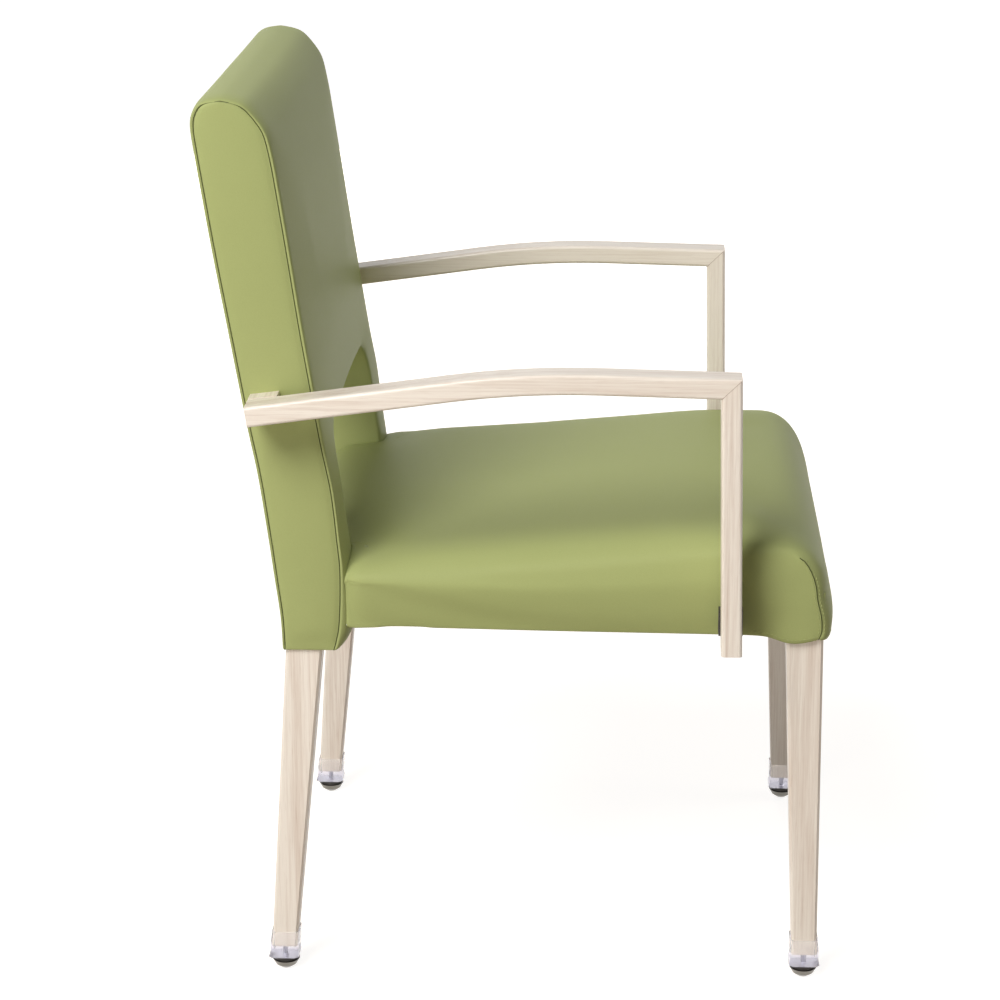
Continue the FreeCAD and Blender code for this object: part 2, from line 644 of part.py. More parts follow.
return_bolt = bolt(LEG_INNER_X, LEG_OUTER_X + BOLT_BITE, *return_mid)
post_bolt = bolt(LEG_OUTER_X - RAIL_WALL, ARM_INNER_X + BOLT_BITE, post_mid_y, RAIL_MID_Z)
return_hole = rod(LEG_INNER_X, LEG_OUTER_X, *return_mid, BOLT_DIAMETER + 2 * SNUG)
head_end_x = LEG_INNER_X - BOLT_HEAD_HEIGHT - SLIP
head_room = both_sides(rod(head_end_x, LEG_INNER_X, *return_mid, BOLT_HEAD_DIAMETER + 2 * SLIP))
post_hole = rod(LEG_OUTER_X - RAIL_WALL, ARM_INNER_X, post_mid_y, RAIL_MID_Z, BOLT_DIAMETER + 2 * SNUG)
nodes["arm_bolts"] = Part.makeCompound([return_bolt, mirrored(return_bolt), post_bolt, mirrored(post_bolt)])
add_pair("arm_post", post.cut(post_bolt))


def return_stub(grow):
    near = ARM_RETURN_LENGTH + grow
    low = ARM_DEPTH + grow
    ends = [(-grow, -grow), (-grow, near), (low, near), (low, -grow)]
    return side_prism([arm_rear_end(*end) for end in ends], LEG_OUTER_X, ARM_INNER_X)


def spacer_block(grow):
    y0 = post_mid_y - SPACER_WIDTH / 2 - grow
    y1 = post_mid_y + SPACER_WIDTH / 2 + grow
    z0 = RAIL_MID_Z - SPACER_HEIGHT / 2 - grow
    z1 = RAIL_MID_Z + SPACER_HEIGHT / 2 + grow
    return block(LEG_OUTER_X, ARM_INNER_X, y0, y1, z0, z1)


add_pair("arm_return", return_stub(0.0).cut(return_bolt))
add_pair("arm_spacer", spacer_block(0.0).cut(post_hole))
add_pair("rear_leg", rear_leg_tube.cut(return_hole))
add_pair("front_leg", front_leg_tube)
add_pair("seat_rail", side_rail.cut(post_hole))

# Seat upholstery: foam with skirts over the frame, a vinyl cover turned under the rails, a dust cover
room_z0 = RAIL_BOTTOM_Z - SLIP
room_z1 = RAIL_TOP_Z + SLIP
side_rail_room = block(side_rail_x - SLIP, LEG_OUTER_X + SLIP, front_leg_rear, rear_leg_y, room_z0, room_z1)
side_rail_room = both_sides(side_rail_room)
rear_rail_room = block(-LEG_INNER_X, LEG_INNER_X, rear_rail_y - SLIP, rear_rail_back + SLIP, room_z0, room_z1)
front_leg_room = both_sides(bar(front_leg, SLIP))
rear_leg_room = both_sides(bar(rear_leg, SLIP))
spacer_room = both_sides(spacer_block(SLIP))
lip_x = LEG_OUTER_X - HEM_LIP
lip_front = front_rail_y + HEM_LIP
lip_rear = rear_rail_back - HEM_LIP
seat_mouth = block(-lip_x, lip_x, lip_front, lip_rear, SEAT_BOTTOM_Z - FAR, RAIL_BOTTOM_Z)

seat_outer = seat_form(0.0).cut(seat_notches(0.0))
seat_inner = seat_form(VINYL).cut(seat_notches(VINYL))
seat_cover = seat_outer.cut(seat_inner)
for room in (seat_mouth, front_leg_room, side_rail_room, rear_rail_room, spacer_room):
    seat_cover = seat_cover.cut(room)
nodes["seat_cover"] = seat_cover

foam_in = VINYL + SLIP
frame_x = LEG_OUTER_X + SLIP
frame_room = block(-frame_x, frame_x, front_rail_y - SLIP, FAR, -FAR, BOARD_TOP_Z)
seat_foam = seat_form(foam_in).cut(seat_notches(foam_in))
for room in (frame_room, front_leg_room, spacer_room):
    seat_foam = seat_foam.cut(room)
nodes["seat_foam"] = seat_foam

dust_x = lip_x - SLIP
dust_z = RAIL_BOTTOM_Z - DUST_THICKNESS
dust_cover = block(-dust_x, dust_x, lip_front + SLIP, lip_rear - SLIP, dust_z, RAIL_BOTTOM_Z)
nodes["seat_dust_cover"] = dust_cover.cut(seat_notches(VINYL + SLIP)).cut(front_leg_room)

# Back frame: two rails between the uprights, a front board and a thin outer board

def back_rail(mid_y, mid_z):
    half_y = BACK_RAIL_DEPTH / 2
    half_z = BACK_RAIL_HEIGHT / 2
    core_y = half_y - RAIL_WALL
    core_z = half_z - RAIL_WALL
    x = LEG_INNER_X
    core = block(-x, x, mid_y - core_y, mid_y + core_y, mid_z - core_z, mid_z + core_z)
    return block(-x, x, mid_y - half_y, mid_y + half_y, mid_z - half_z, mid_z + half_z).cut(core)


top_rail_z = UPRIGHT_TOP_Z - BACK_RAIL_DROP
lower_rail_z = ARCH_TOP_Z + 2 * VINYL + BACK_RAIL_HEIGHT / 2
for name, z in (("back_lower_rail", lower_rail_z), ("back_top_rail", top_rail_z)):
    nodes[name] = back_rail(between(rear_leg, z)[2], z).cut(head_room)


def upright_rear_y(z):
    _, _, y, _, depth = between(rear_leg, z)
    return y + depth / 2


def board_on(face_y, z0, z1, thickness):
    """A flat board against the uprights' sloping faces."""
    y0 = face_y(z0)
    y1 = face_y(z1)
    outline = [(y0, z0), (y1, z1), (y1 + thickness, z1), (y0 + thickness, z0)]
    return side_prism(outline, -LEG_OUTER_X, LEG_OUTER_X)


foam_arch = arch(foam_in)
back_board = board_on(upright_front_y, BACK_BEND_Z, UPRIGHT_TOP_Z, -BACK_BOARD_THICKNESS)
nodes["back_board"] = back_board.cut(foam_arch)
nodes["back_outer_board"] = board_on(upright_rear_y, lower_rail_z, UPRIGHT_TOP_Z, OUTER_BOARD_THICKNESS)

# Back upholstery: foam in front of the board and over the top, a vinyl wrap, two side panels
back_outer = back_form(0.0).cut(arch(0.0))
back_inner = back_form(VINYL).cut(arch(VINYL))
panel_x = BACK_HALF - VINYL
back_cover = back_outer.cut(back_inner).common(block(-panel_x, panel_x, -FAR, FAR, 0, FAR))
for room in (rear_leg_room, side_rail_room, rear_rail_room):
    back_cover = back_cover.cut(room)
nodes["back_cover"] = back_cover
side_panel = back_outer.common(block(panel_x, FAR, -FAR, FAR, 0, FAR))
add_pair("back_side_panel", side_panel.cut(return_stub(SLIP)))

board_face = BACK_BOARD_THICKNESS + SLIP
frame_outline = [
    (upright_front_y(BACK_HEM_Z) - SLIP, 0.0),
    (upright_front_y(BACK_HEM_Z) - SLIP, BACK_HEM_Z),
    (upright_front_y(UPRIGHT_WAIST_Z) - SLIP, UPRIGHT_WAIST_Z),
    (upright_front_y(BACK_BEND_Z) - SLIP, BACK_BEND_Z - SLIP),
    (upright_front_y(BACK_BEND_Z) - board_face, BACK_BEND_Z - SLIP),
    (upright_front_y(UPRIGHT_TOP_Z) - board_face, UPRIGHT_TOP_Z + SLIP),
    (FAR, UPRIGHT_TOP_Z + SLIP),
    (FAR, 0.0),
]
foam_x = panel_x - SLIP
back_foam = back_form(foam_in).cut(foam_arch).common(block(-foam_x, foam_x, -FAR, FAR, 0, FAR))
back_foam = back_foam.cut(side_prism(frame_outline, -FAR, FAR)).cut(side_rail_room)
nodes["back_foam"] = back_foam

# Feet: clear boot on the leg tip, ball stud moulded into its floor, nickel base under a black collar

def boot_body(leg):
    """The boot's square outside, flared at the floor and swollen round the leg's end."""
    swell = [
        (BOOT_BOTTOM_Z, 1.0), (BOOT_BOTTOM_Z + BOOT_WAIST_RISE, BOOT_WAIST_SHARE),
        (LEG_TIP_Z + BOOT_GAP, BOOT_SWELL_SHARE), (BOOT_TOP_Z, 0.0),
    ]
    stations = []
    for z, share in swell:
        _, x, y, width, depth = between(leg, z)
        skin = 2 * (BOOT_WALL + share * BOOT_FLARE)
        stations.append((z, x, y, width + skin, depth + skin))
    return bar(stations, 0.0, BOOT_CORNER)


def ball_stud(x, y):
    stem = pin(x, y, BALL_Z, LEG_TIP_Z - BOOT_GAP, STUD_DIAMETER)
    return Part.makeSphere(BALL_DIAMETER / 2, vec(x, y, BALL_Z)).fuse(stem)


ball_room = BALL_DIAMETER / 2 + RUNNING


def glide_collar(x, y):
    """A black ring on the base, coned inside to hold the ball down and let the base tilt."""
    sway = (COLLAR_TOP_Z - BALL_Z) * math.tan(math.radians(GLIDE_TILT_DEG))
    mouth_r = STUD_DIAMETER / 2 + sway + SLIP
    collar_r = COLLAR_DIAMETER / 2
    return turned([
        (ball_room + RUNNING, GLIDE_HEIGHT), (collar_r, GLIDE_HEIGHT), (collar_r, COLLAR_TOP_Z),
        (mouth_r, COLLAR_TOP_Z),
    ], x, y)


def dome_points():
    """The base's underside from its flat to its rim, on one round, as (radius, z) points."""
    rim_r = GLIDE_DIAMETER / 2
    flat_r = GLIDE_FLAT_DIAMETER / 2
    centre_z = (rim_r ** 2 + GLIDE_HEIGHT ** 2 - flat_r ** 2) / (2 * GLIDE_HEIGHT)
    dome_r = math.hypot(flat_r, centre_z)
    first = math.atan2(flat_r, centre_z)
    turn = (math.atan2(rim_r, centre_z - GLIDE_HEIGHT) - first) / GLIDE_DOME_STEPS
    angles = [first + turn * step for step in range(GLIDE_DOME_STEPS + 1)]
    return [(dome_r * math.sin(angle), centre_z - dome_r * math.cos(angle)) for angle in angles]


def glide_base(x, y):
    """The nickel base, domed underneath, with a well for the ball."""
    well_z = BALL_Z - ball_room
    return turned([(0.0, 0.0)] + dome_points() + [
        (ball_room, GLIDE_HEIGHT), (ball_room, well_z), (0.0, well_z),
    ], x, y)


studs = []
for place, leg, foot_y in (("front", front_leg, FOOT_FRONT_Y), ("rear", rear_leg, FOOT_REAR_Y)):
    stud = ball_stud(FOOT_X, foot_y)
    studs += [stud, mirrored(stud)]
    add_pair("boot_" + place, boot_body(leg).cut(bar(leg, SNUG)).cut(stud))
    add_pair("glide_collar_" + place, glide_collar(FOOT_X, foot_y))
    add_pair("glide_base_" + place, glide_base(FOOT_X, foot_y))
nodes["glide_studs"] = Part.makeCompound(studs)

os.makedirs("parts", exist_ok=True)
for name, shape in nodes.items():
    shape.exportStep(os.path.join("parts", name + ".step"))
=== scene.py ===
import math
import bmesh
import bpy
import numpy as np
from mathutils import Matrix, Vector


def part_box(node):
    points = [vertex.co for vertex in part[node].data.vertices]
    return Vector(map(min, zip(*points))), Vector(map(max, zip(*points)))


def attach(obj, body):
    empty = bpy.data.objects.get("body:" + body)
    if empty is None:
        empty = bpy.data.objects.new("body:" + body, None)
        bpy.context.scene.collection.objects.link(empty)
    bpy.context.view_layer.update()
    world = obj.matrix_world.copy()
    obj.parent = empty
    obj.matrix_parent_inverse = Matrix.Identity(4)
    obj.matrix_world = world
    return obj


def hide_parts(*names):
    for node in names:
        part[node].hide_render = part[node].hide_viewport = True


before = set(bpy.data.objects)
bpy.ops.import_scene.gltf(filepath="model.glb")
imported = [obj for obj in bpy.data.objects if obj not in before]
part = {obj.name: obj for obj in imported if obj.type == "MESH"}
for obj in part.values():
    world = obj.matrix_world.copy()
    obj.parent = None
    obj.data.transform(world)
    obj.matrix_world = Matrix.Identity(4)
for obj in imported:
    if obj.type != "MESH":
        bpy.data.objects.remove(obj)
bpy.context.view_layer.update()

# Legs and rear uprights: tapered square aluminium tube, welded to the seat frame. The tube is powder
# coated pale and printed with an ash grain that runs along its length, under a satin clear coat.


def add_node(tree, kind, values=None, **settings):
    """A node with its settings and its own socket values."""
    made = tree.nodes.new(kind)
    for name, value in settings.items():
        setattr(made, name, value)
    for name, value in (values or {}).items():
        made.inputs[name].default_value = value
    return made


def feed(tree, socket, value):
    """Links a socket to another one, or gives it a plain value."""
    if isinstance(value, bpy.types.NodeSocket):
        tree.links.new(value, socket)
    else:
        socket.default_value = value


def blend_colours(tree, share, first, second):
    """A colour mix, each input a socket or a plain value."""
    mix = add_node(tree, "ShaderNodeMix", data_type="RGBA")
    for place, value in ((0, share), (6, first), (7, second)):
        feed(tree, mix.inputs[place], value)
    return mix.outputs[2]


def reckon(tree, operation, first, second):
    """A sum on two sockets or plain numbers."""
    made = add_node(tree, "ShaderNodeMath", operation=operation)
    feed(tree, made.inputs[0], first)
    feed(tree, made.inputs[1], second)
    return made.outputs[0]


def weighed_sum(tree, *terms):
    """The sum of (value, weight) pairs."""
    total = reckon(tree, "MULTIPLY", *terms[0])
    for term in terms[1:]:
        total = reckon(tree, "ADD", total, reckon(tree, "MULTIPLY", *term))
    return total


def stretched_noise(tree, vector, stretch, **values):
    """Noise drawn out along one way, by how many of its spots fit in a metre each way."""
    scaled = add_node(tree, "ShaderNodeVectorMath", operation="MULTIPLY")
    scaled.inputs[1].default_value = stretch
    tree.links.new(vector, scaled.inputs[0])
    noise = add_node(tree, "ShaderNodeTexNoise", {"Scale": 1.0, **values})
    tree.links.new(scaled.outputs[0], noise.inputs["Vector"])
    return noise.outputs["Fac"]


def spread(tree, value, low, high):
    """The part of a value from low to high, as 0 to 1."""
    made = add_node(tree, "ShaderNodeMapRange", {"From Min": low, "From Max": high})
    tree.links.new(value, made.inputs["Value"])
    return made.outputs["Result"]


def effect_group(name, **inputs):
    """Begins a shader group from a place on a piece to its look, with colours and numbers as inputs."""
    tree = bpy.data.node_groups.new(name, "ShaderNodeTree")
    tree.interface.new_socket("Vector", in_out="INPUT", socket_type="NodeSocketVector")
    for title, value in inputs.items():
        kind = "NodeSocketColor" if isinstance(value, tuple) else "NodeSocketFloat"
        tree.interface.new_socket(title, in_out="INPUT", socket_type=kind).default_value = value
    tree.interface.new_socket("Color", in_out="OUTPUT", socket_type="NodeSocketColor")
    for title in ("Roughness", "Height"):
        tree.interface.new_socket(title, in_out="OUTPUT", socket_type="NodeSocketFloat")
    return tree, tree.nodes.new("NodeGroupInput").outputs


def close_group(tree, colour, roughness, height):
    """Ends a shader group with its three outputs."""
    out = tree.nodes.new("NodeGroupOutput")
    for value, socket in zip((colour, roughness, height), out.inputs):
        tree.links.new(value, socket)


def surface(name, group, turn, values, bump, **plain):
    """A material whose colour, roughness and relief come from a group, laid along the piece by a turn."""
    material = bpy.data.materials.new(name)
    material.use_nodes = True
    tree = material.node_tree
    shader = tree.nodes["Principled BSDF"]
    for title, value in plain.items():
        shader.inputs[title.replace("_", " ")].default_value = value
    place = add_node(tree, "ShaderNodeTexCoord")
    laid = add_node(tree, "ShaderNodeMapping", {"Rotation": turn})
    effect = add_node(tree, "ShaderNodeGroup", node_tree=group)
    for title, value in values.items():
        effect.inputs[title].default_value = value
    relief = add_node(tree, "ShaderNodeBump", {"Strength": bump[0], "Distance": bump[1]})
    tree.links.new(place.outputs["Object"], laid.inputs["Vector"])
    tree.links.new(laid.outputs["Vector"], effect.inputs["Vector"])
    tree.links.new(effect.outputs["Color"], shader.inputs["Base Color"])
    tree.links.new(effect.outputs["Roughness"], shader.inputs["Roughness"])
    tree.links.new(effect.outputs["Height"], relief.inputs["Height"])
    tree.links.new(relief.outputs["Normal"], shader.inputs["Normal"])
    return material


def dress(material, *names):
    """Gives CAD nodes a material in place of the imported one."""
    for name in names:
        part[name].data.materials.clear()
        part[name].data.materials.append(material)


def pair(name):
    """The names of a node on the left and on the right."""
    return [name + "_left", name + "_right"]


ash_grain, given = effect_group(
    "ash_grain", Pale=(0.87, 0.785, 0.685, 1), Vein=(0.56, 0.42, 0.325, 1), Satin=0.4)
along_grain = given["Vector"]
bands = stretched_noise(ash_grain, along_grain, (70, 70, 2.2), Detail=4.0, Roughness=0.55, Distortion=0.7)
streaks = stretched_noise(ash_grain, along_grain, (420, 420, 9), Detail=4.0, Roughness=0.65, Distortion=0.2)
pores = stretched_noise(ash_grain, along_grain, (1300, 1300, 42), Detail=2.0)
vein = spread(ash_grain, weighed_sum(ash_grain, (bands, 0.55), (streaks, 0.45)), 0.44, 0.66)
pore = spread(ash_grain, pores, 0.58, 0.72)
shade = weighed_sum(ash_grain, (vein, 0.62), (pore, 0.22))
close_group(ash_grain, blend_colours(ash_grain, shade, given["Pale"], given["Vein"]),
            weighed_sum(ash_grain, (given["Satin"], 1.0), (pore, 0.15)),
            weighed_sum(ash_grain, (streaks, 0.4), (pore, -1.0)))


def ash_finish(name, turn):
    """The coated ash finish, its grain turned to run along a tube."""
    return surface(name, ash_grain, turn, {}, (0.25, 0.0002), Coat_Weight=0.25, Coat_Roughness=0.25)


ash_upright = ash_finish("ash_upright", (0, 0, 0))
dress(ash_upright, *pair("front_leg"), *pair("rear_leg"))

# Frame inside the upholstery: aluminium rails and gusset plates left as drawn, welded to the legs and
# uprights, with plywood boards on them. Screws, bolts and studs are zinc plated.
mill_grain, given = effect_group("mill_grain", Metal=(0.68, 0.68, 0.69, 1), Dull=0.35)
drawn = stretched_noise(mill_grain, given["Vector"], (900, 900, 12), Detail=3.0, Roughness=0.6)
cloudy = stretched_noise(mill_grain, given["Vector"], (35, 35, 35), Detail=3.0)
darker = blend_colours(mill_grain, cloudy, given["Metal"], (0.45, 0.45, 0.46, 1))
mixed = blend_colours(mill_grain, reckon(mill_grain, "MULTIPLY", drawn, 0.5), given["Metal"], darker)
close_group(mill_grain, mixed, weighed_sum(mill_grain, (given["Dull"], 1.0), (drawn, 0.2)), drawn)
QUARTER = math.pi / 2
rail_across = surface("mill_aluminium_across", mill_grain, (0, QUARTER, 0), {}, (0.1, 0.0001), Metallic=1.0)
rail_lengthwise = surface(
    "mill_aluminium_lengthwise", mill_grain, (QUARTER, 0, 0), {}, (0.1, 0.0001), Metallic=1.0)
zinc = surface("zinc_plate", mill_grain, (0, QUARTER, 0), {"Metal": (0.6, 0.61, 0.63, 1), "Dull": 0.28},
               (0.05, 0.0001), Metallic=1.0)
dress(rail_across, "seat_rail_front", "seat_rail_rear", "back_lower_rail", "back_top_rail")
dress(rail_lengthwise, *pair("seat_rail"), "corner_braces")
dress(zinc, "seat_screws", "arm_bolts", "glide_studs")
plywood = surface("plywood", ash_grain, (QUARTER, 0, 0), {
    "Pale": (0.66, 0.5, 0.33, 1), "Vein": (0.45, 0.3, 0.18, 1), "Satin": 0.65}, (0.4, 0.0003))
dress(plywood, "seat_board", "back_board", "back_outer_board")

# Dust cover: a sheet of black non-woven cloth stapled under the seat rails, pulled flat between the
# legs, with its corners cut out for them and for the uprights.


def put(name, data):
    """A new object in the scene."""
    made = bpy.data.objects.new(name, data)
    bpy.context.scene.collection.objects.link(made)
    return made


def piece_of(name, points, faces):
    """A smooth mesh piece from points in millimetres."""
    mesh = bpy.data.meshes.new(name)
    mesh.from_pydata([tuple(0.001 * value for value in point) for point in points], [], faces)
    mesh.validate()
    mesh.polygons.foreach_set("use_smooth", [True] * len(mesh.polygons))
    return put(name, mesh)


def face_outwards(piece):
    """Merges doubles and turns every face of a closed mesh outwards."""
    shell = bmesh.new()
    shell.from_mesh(piece.data)
    bmesh.ops.remove_doubles(shell, verts=shell.verts, dist=1e-6)
    bmesh.ops.recalc_face_normals(shell, faces=shell.faces)
    shell.to_mesh(piece.data)
    shell.free()


def steps_between(start, end, count):
    """Evenly spaced values from start to end, both included."""
    return [start + (end - start) * step / count for step in range(count + 1)]


def box_mm(name):
    """The two corners of a CAD node's box, in millimetres."""
    low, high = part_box(name)
    return np.array(low) * 1000, np.array(high) * 1000


_, dust_high = box_mm("seat_dust_cover")
SHEET_HALF, SHEET_FRONT, SHEET_REAR = 252.3, -306.5, 229.1
DUST_THICKNESS = 0.8
DUST_SAG = 2.0
pocket_x, pocket_y = 219.0, -269.5
notch_x, notch_y = 182.0, 159.0
dust_xs = steps_between(-SHEET_HALF, -pocket_x, 2) + steps_between(-pocket_x, -notch_x, 3)[1:]
dust_xs += steps_between(-notch_x, 0, 12)[1:]
dust_xs += [-x for x in reversed(dust_xs[:-1])]
dust_ys = steps_between(SHEET_FRONT, pocket_y, 3) + steps_between(pocket_y, notch_y, 30)[1:]
dust_ys += steps_between(notch_y, SHEET_REAR, 6)[1:]
dust_points = []
for y in dust_ys:
    for x in dust_xs:
        along = (y - SHEET_FRONT) / (SHEET_REAR - SHEET_FRONT)
        sag = DUST_SAG * math.cos(math.pi * x / (2 * SHEET_HALF)) * math.sin(math.pi * along)
        dust_points.append((x, y, dust_high[2] - sag))
dust_faces = []
for row, (y0, y1) in enumerate(zip(dust_ys, dust_ys[1:])):
    for column, (x0, x1) in enumerate(zip(dust_xs, dust_xs[1:])):
        x, y = abs(x0 + x1) / 2, (y0 + y1) / 2
        if (x > pocket_x and y < pocket_y) or (x > notch_x and y > notch_y):
            continue
        corner = row * len(dust_xs) + column
        dust_faces.append((corner, corner + len(dust_xs), corner + len(dust_xs) + 1, corner + 1))
dust_sheet = piece_of("dust_cover_cloth", dust_points, dust_faces)
loose = bmesh.new()
loose.from_mesh(dust_sheet.data)
bmesh.ops.delete(loose, geom=[v for v in loose.verts if not v.link_faces], context="VERTS")
loose.to_mesh(dust_sheet.data)
loose.free()
dust_body = dust_sheet.modifiers.new("cloth_thickness", "SOLIDIFY")
dust_body.thickness = DUST_THICKNESS * 0.001
dust_body.offset = -1.0
felt, given = effect_group("felt_fibres", Fibre=(0.03, 0.03, 0.032, 1))
fibres = stretched_noise(felt, given["Vector"], (900, 900, 900), Detail=4.0, Roughness=0.7)
close_group(felt, blend_colours(felt, fibres, given["Fibre"], (0.07, 0.07, 0.072, 1)),
            weighed_sum(felt, (fibres, 0.2), (0.75, 1.0)), fibres)
dust_sheet.data.materials.append(surface("black_non_woven", felt, (0, 0, 0), {}, (0.5, 0.0004)))
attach(dust_sheet, "chair")
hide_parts("seat_dust_cover")

# Seat cushion: moulded foam over the board, wrapped in one green vinyl cover that is sewn at the two
# front corners, drawn down over the rails and turned under them. It is notched for the back's stiles.


def plump(piece, held, pressure, most):
    """Blows a sewn cover up from inside as cloth, held at its seams, by at most so many millimetres."""
    frames = 20
    start = [vertex.co.copy() for vertex in piece.data.vertices]
    group = piece.vertex_groups.new(name="held")
    for vertex, weight in enumerate(held):
        if weight > 0:
            group.add([vertex], weight, "REPLACE")
    cloth = piece.modifiers.new("swell", "CLOTH")
    settings = cloth.settings
    settings.quality = 5
    settings.mass = 0.4
    settings.tension_stiffness = 40
    settings.compression_stiffness = 40
    settings.shear_stiffness = 20
    settings.bending_stiffness = 4
    settings.use_pressure = True
    settings.uniform_pressure_force = pressure
    settings.vertex_group_mass = group.name
    settings.pin_stiffness = 1.0
    settings.effector_weights.gravity = 0
    cloth.point_cache.frame_start = 1
    cloth.point_cache.frame_end = frames
    for step in range(1, frames + 1):
        bpy.context.scene.frame_set(step)
    blown = piece.evaluated_get(bpy.context.evaluated_depsgraph_get()).data
    ends = [vertex.co.copy() for vertex in blown.vertices]
    piece.modifiers.remove(cloth)
    piece.vertex_groups.remove(group)
    longest = most * 0.001
    for vertex, before, after in zip(piece.data.vertices, start, ends):
        move = after - before
        if move.length > longest:
            move *= longest / move.length
        vertex.co = before + move
    bpy.context.scene.frame_set(1)


def even_out(piece, held, rounds):
    """Takes the small waves out of a cover, away from what holds it."""
    shell = bmesh.new()
    shell.from_mesh(piece.data)
    loose = [vertex for vertex, weight in zip(shell.verts, held) if weight == 0]
    for _ in range(rounds):
        bmesh.ops.smooth_vert(
            shell, verts=loose, factor=0.5, use_axis_x=True, use_axis_y=True, use_axis_z=True)
    shell.to_mesh(piece.data)
    shell.free()


def smooth_cover(piece):
    """Rounds a cover off between its points."""
    smoother = piece.modifiers.new("smooth_cover", "SUBSURF")
    smoother.levels = smoother.render_levels = 1


def open_edges(faces):
    """The edges that one face alone has."""
    edges = {}
    for face in faces:
        for a, b in zip(face, face[1:] + face[:1]):
            key = (min(a, b), max(a, b))
            edges[key] = None if key in edges else (a, b)
    return [edge for edge in edges.values() if edge]


def soft_step(value, low, high):
    """From 0 at low to 1 at high, with a level start and end."""
    share = min(1.0, max(0.0, (value - low) / (high - low)))
    return share * share * (3 - 2 * share)


def round_off(gap, reach):
    """How far a rounded edge has dropped: 1 on the edge, 0 at its reach from it."""
    near = min(1.0, max(0.0, 1 - gap / reach))
    return 1 - math.sqrt(1 - near ** 2)


def through(table, value):
    """A smooth line through (place, height) pairs."""
    places = [place for place, _ in table]
    heights = [height for _, height in table]
    index = min(max(int(np.searchsorted(places, value)) - 1, 0), len(table) - 2)

    def slope(at):
        low, high = max(at - 1, 0), min(at + 1, len(table) - 1)
        return (heights[high] - heights[low]) / (places[high] - places[low])

    run = places[index + 1] - places[index]
    t = (value - places[index]) / run
    return ((2 * t ** 3 - 3 * t ** 2 + 1) * heights[index] + (t ** 3 - 2 * t ** 2 + t) * run * slope(index)
            + (3 * t ** 2 - 2 * t ** 3) * heights[index + 1] + (t ** 3 - t ** 2) * run * slope(index + 1))


seat_low, seat_high = box_mm("seat_cover")
_, board_high = box_mm("seat_board")
SEAT_HALF = seat_high[0]
FRAME_HALF = 253.2
SEAT_FRONT, SEAT_REAR = seat_low[1], seat_high[1]
SEAT_CREST = 480.5
SEAT_CROWN = 9.0
ROLL_REACH = 36.0
SEAT_PITCH = 0.089
PITCH_START, PITCH_BLEND = -195.0, 40.0
FRONT_HEM, HEM_LIFT, HEM_TURN = 375.5, 1.5, 3.0
NOSE_RADIUS, NOSE_LEAN = 52.0, 6.0
TAIL_RADIUS, NOTCH_RADIUS = 26.0, 4.0
CORNER_TUCK, TOP_TUCK, CORNER_REACH = 12.0, 5.0, 22.0
DRAW_LOSS, NOSE_DRAW = 0.7, 0.36
NOTCH_FRONT, NOTCH_SIDE = 162.3, 184.6
STILE_HALF, STILE_EDGE, STILE_CLEAR, STILE_LINE = 255.0, 27.0, 0.4, 168.0
STILE_MEETING = 460.0
stile_seam = [
    (358.0, 184.0), (365.0, 181.5), (387.5, 177.2), (443.8, 175.1), (471.6, 177.2), (526.9, 182.6),
    (574.9, 191.6), (634.1, 201.0), (692.5, 210.1), (772.0, 221.2), (848.3, 232.4), (870.0, 236.2)]
stile_pad = [
    (358.0, 180.0), (364.0, 173.5), (376.0, 167.6), (388.0, 165.0), (415.0, 165.4), (443.8, 169.9),
    (560.0, 187.0), (692.5, 206.3), (850.0, 229.0), (870.0, 232.4)]
FRONT_ROWS, NOSE_ROWS, TOP_ROWS, TAIL_ROWS = 10, 10, 60, 10
SIDE_ROWS = FRONT_ROWS + NOSE_ROWS // 2
REAR_TUCK, REAR_REACH = 8.0, 26.0
side_drop = [
    (-330.0, 4.0), (-290.0, 5.5), (-255.0, 11.0), (-205.0, 17.5), (-150.0, 20.5), (-60.0, 20.5),
    (60.0, 17.5), (180.0, 14.0)]
hem_line = [
    (-330.0, 378.0), (-303.0, 376.5), (-283.0, 372.6), (-270.0, 373.0), (-252.0, 379.0), (-235.0, 380.2),
    (-40.0, 382.2), (120.0, 384.2), (170.0, 382.8), (240.0, 383.0)]
hem_tuck = [(-330.0, 4.0), (-265.0, 4.0), (-225.0, 9.0), (240.0, 9.0)]
ROLL_ANGLES = (90, 80, 70, 60, 50, 40, 30, 18, 0)
roll_xs = [SEAT_HALF - ROLL_REACH * (1 - math.sin(math.radians(angle))) for angle in ROLL_ANGLES]
flat_xs = steps_between(roll_xs[-1], NOTCH_SIDE + 0.8, 2)[1:] + steps_between(NOTCH_SIDE, 0.0, 18)
seat_xs = roll_xs + flat_xs + [-x for x in reversed(flat_xs[:-1])] + [-x for x in reversed(roll_xs)]


def stile_front(x, z):
    """The swollen front of a stile, by its seam at the side and its pad."""
    full = 1 - round_off(STILE_HALF - abs(x), STILE_EDGE)
    return through(stile_seam, z) * (1 - full) + through(stile_pad, z) * full


def rear_draw(y):
    """How far the seat's sides are rounded in next to the stiles."""
    return REAR_TUCK * round_off(STILE_LINE - y, REAR_REACH)


def drawn_in(x, y):
    """A place across the seat, once its rear corners are rounded."""
    over = max(0.0, abs(x) - NOTCH_SIDE)
    return x - math.copysign(over * rear_draw(y) / (SEAT_HALF - NOTCH_SIDE), x)


def seat_rear(x, z):
    """The seat's rear end: past the arch in its middle, against the stile at each side."""
    return SEAT_REAR if abs(x) <= NOTCH_SIDE else stile_front(drawn_in(x, STILE_LINE), z) - STILE_CLEAR


def seat_top(y):
    """The height of the seat's top along its middle: level in front, then pitched down to the rear."""
    past = y - PITCH_START
    down = max(0.0, past) if abs(past) > PITCH_BLEND else (past + PITCH_BLEND) ** 2 / (4 * PITCH_BLEND)
    return SEAT_CREST - SEAT_PITCH * down


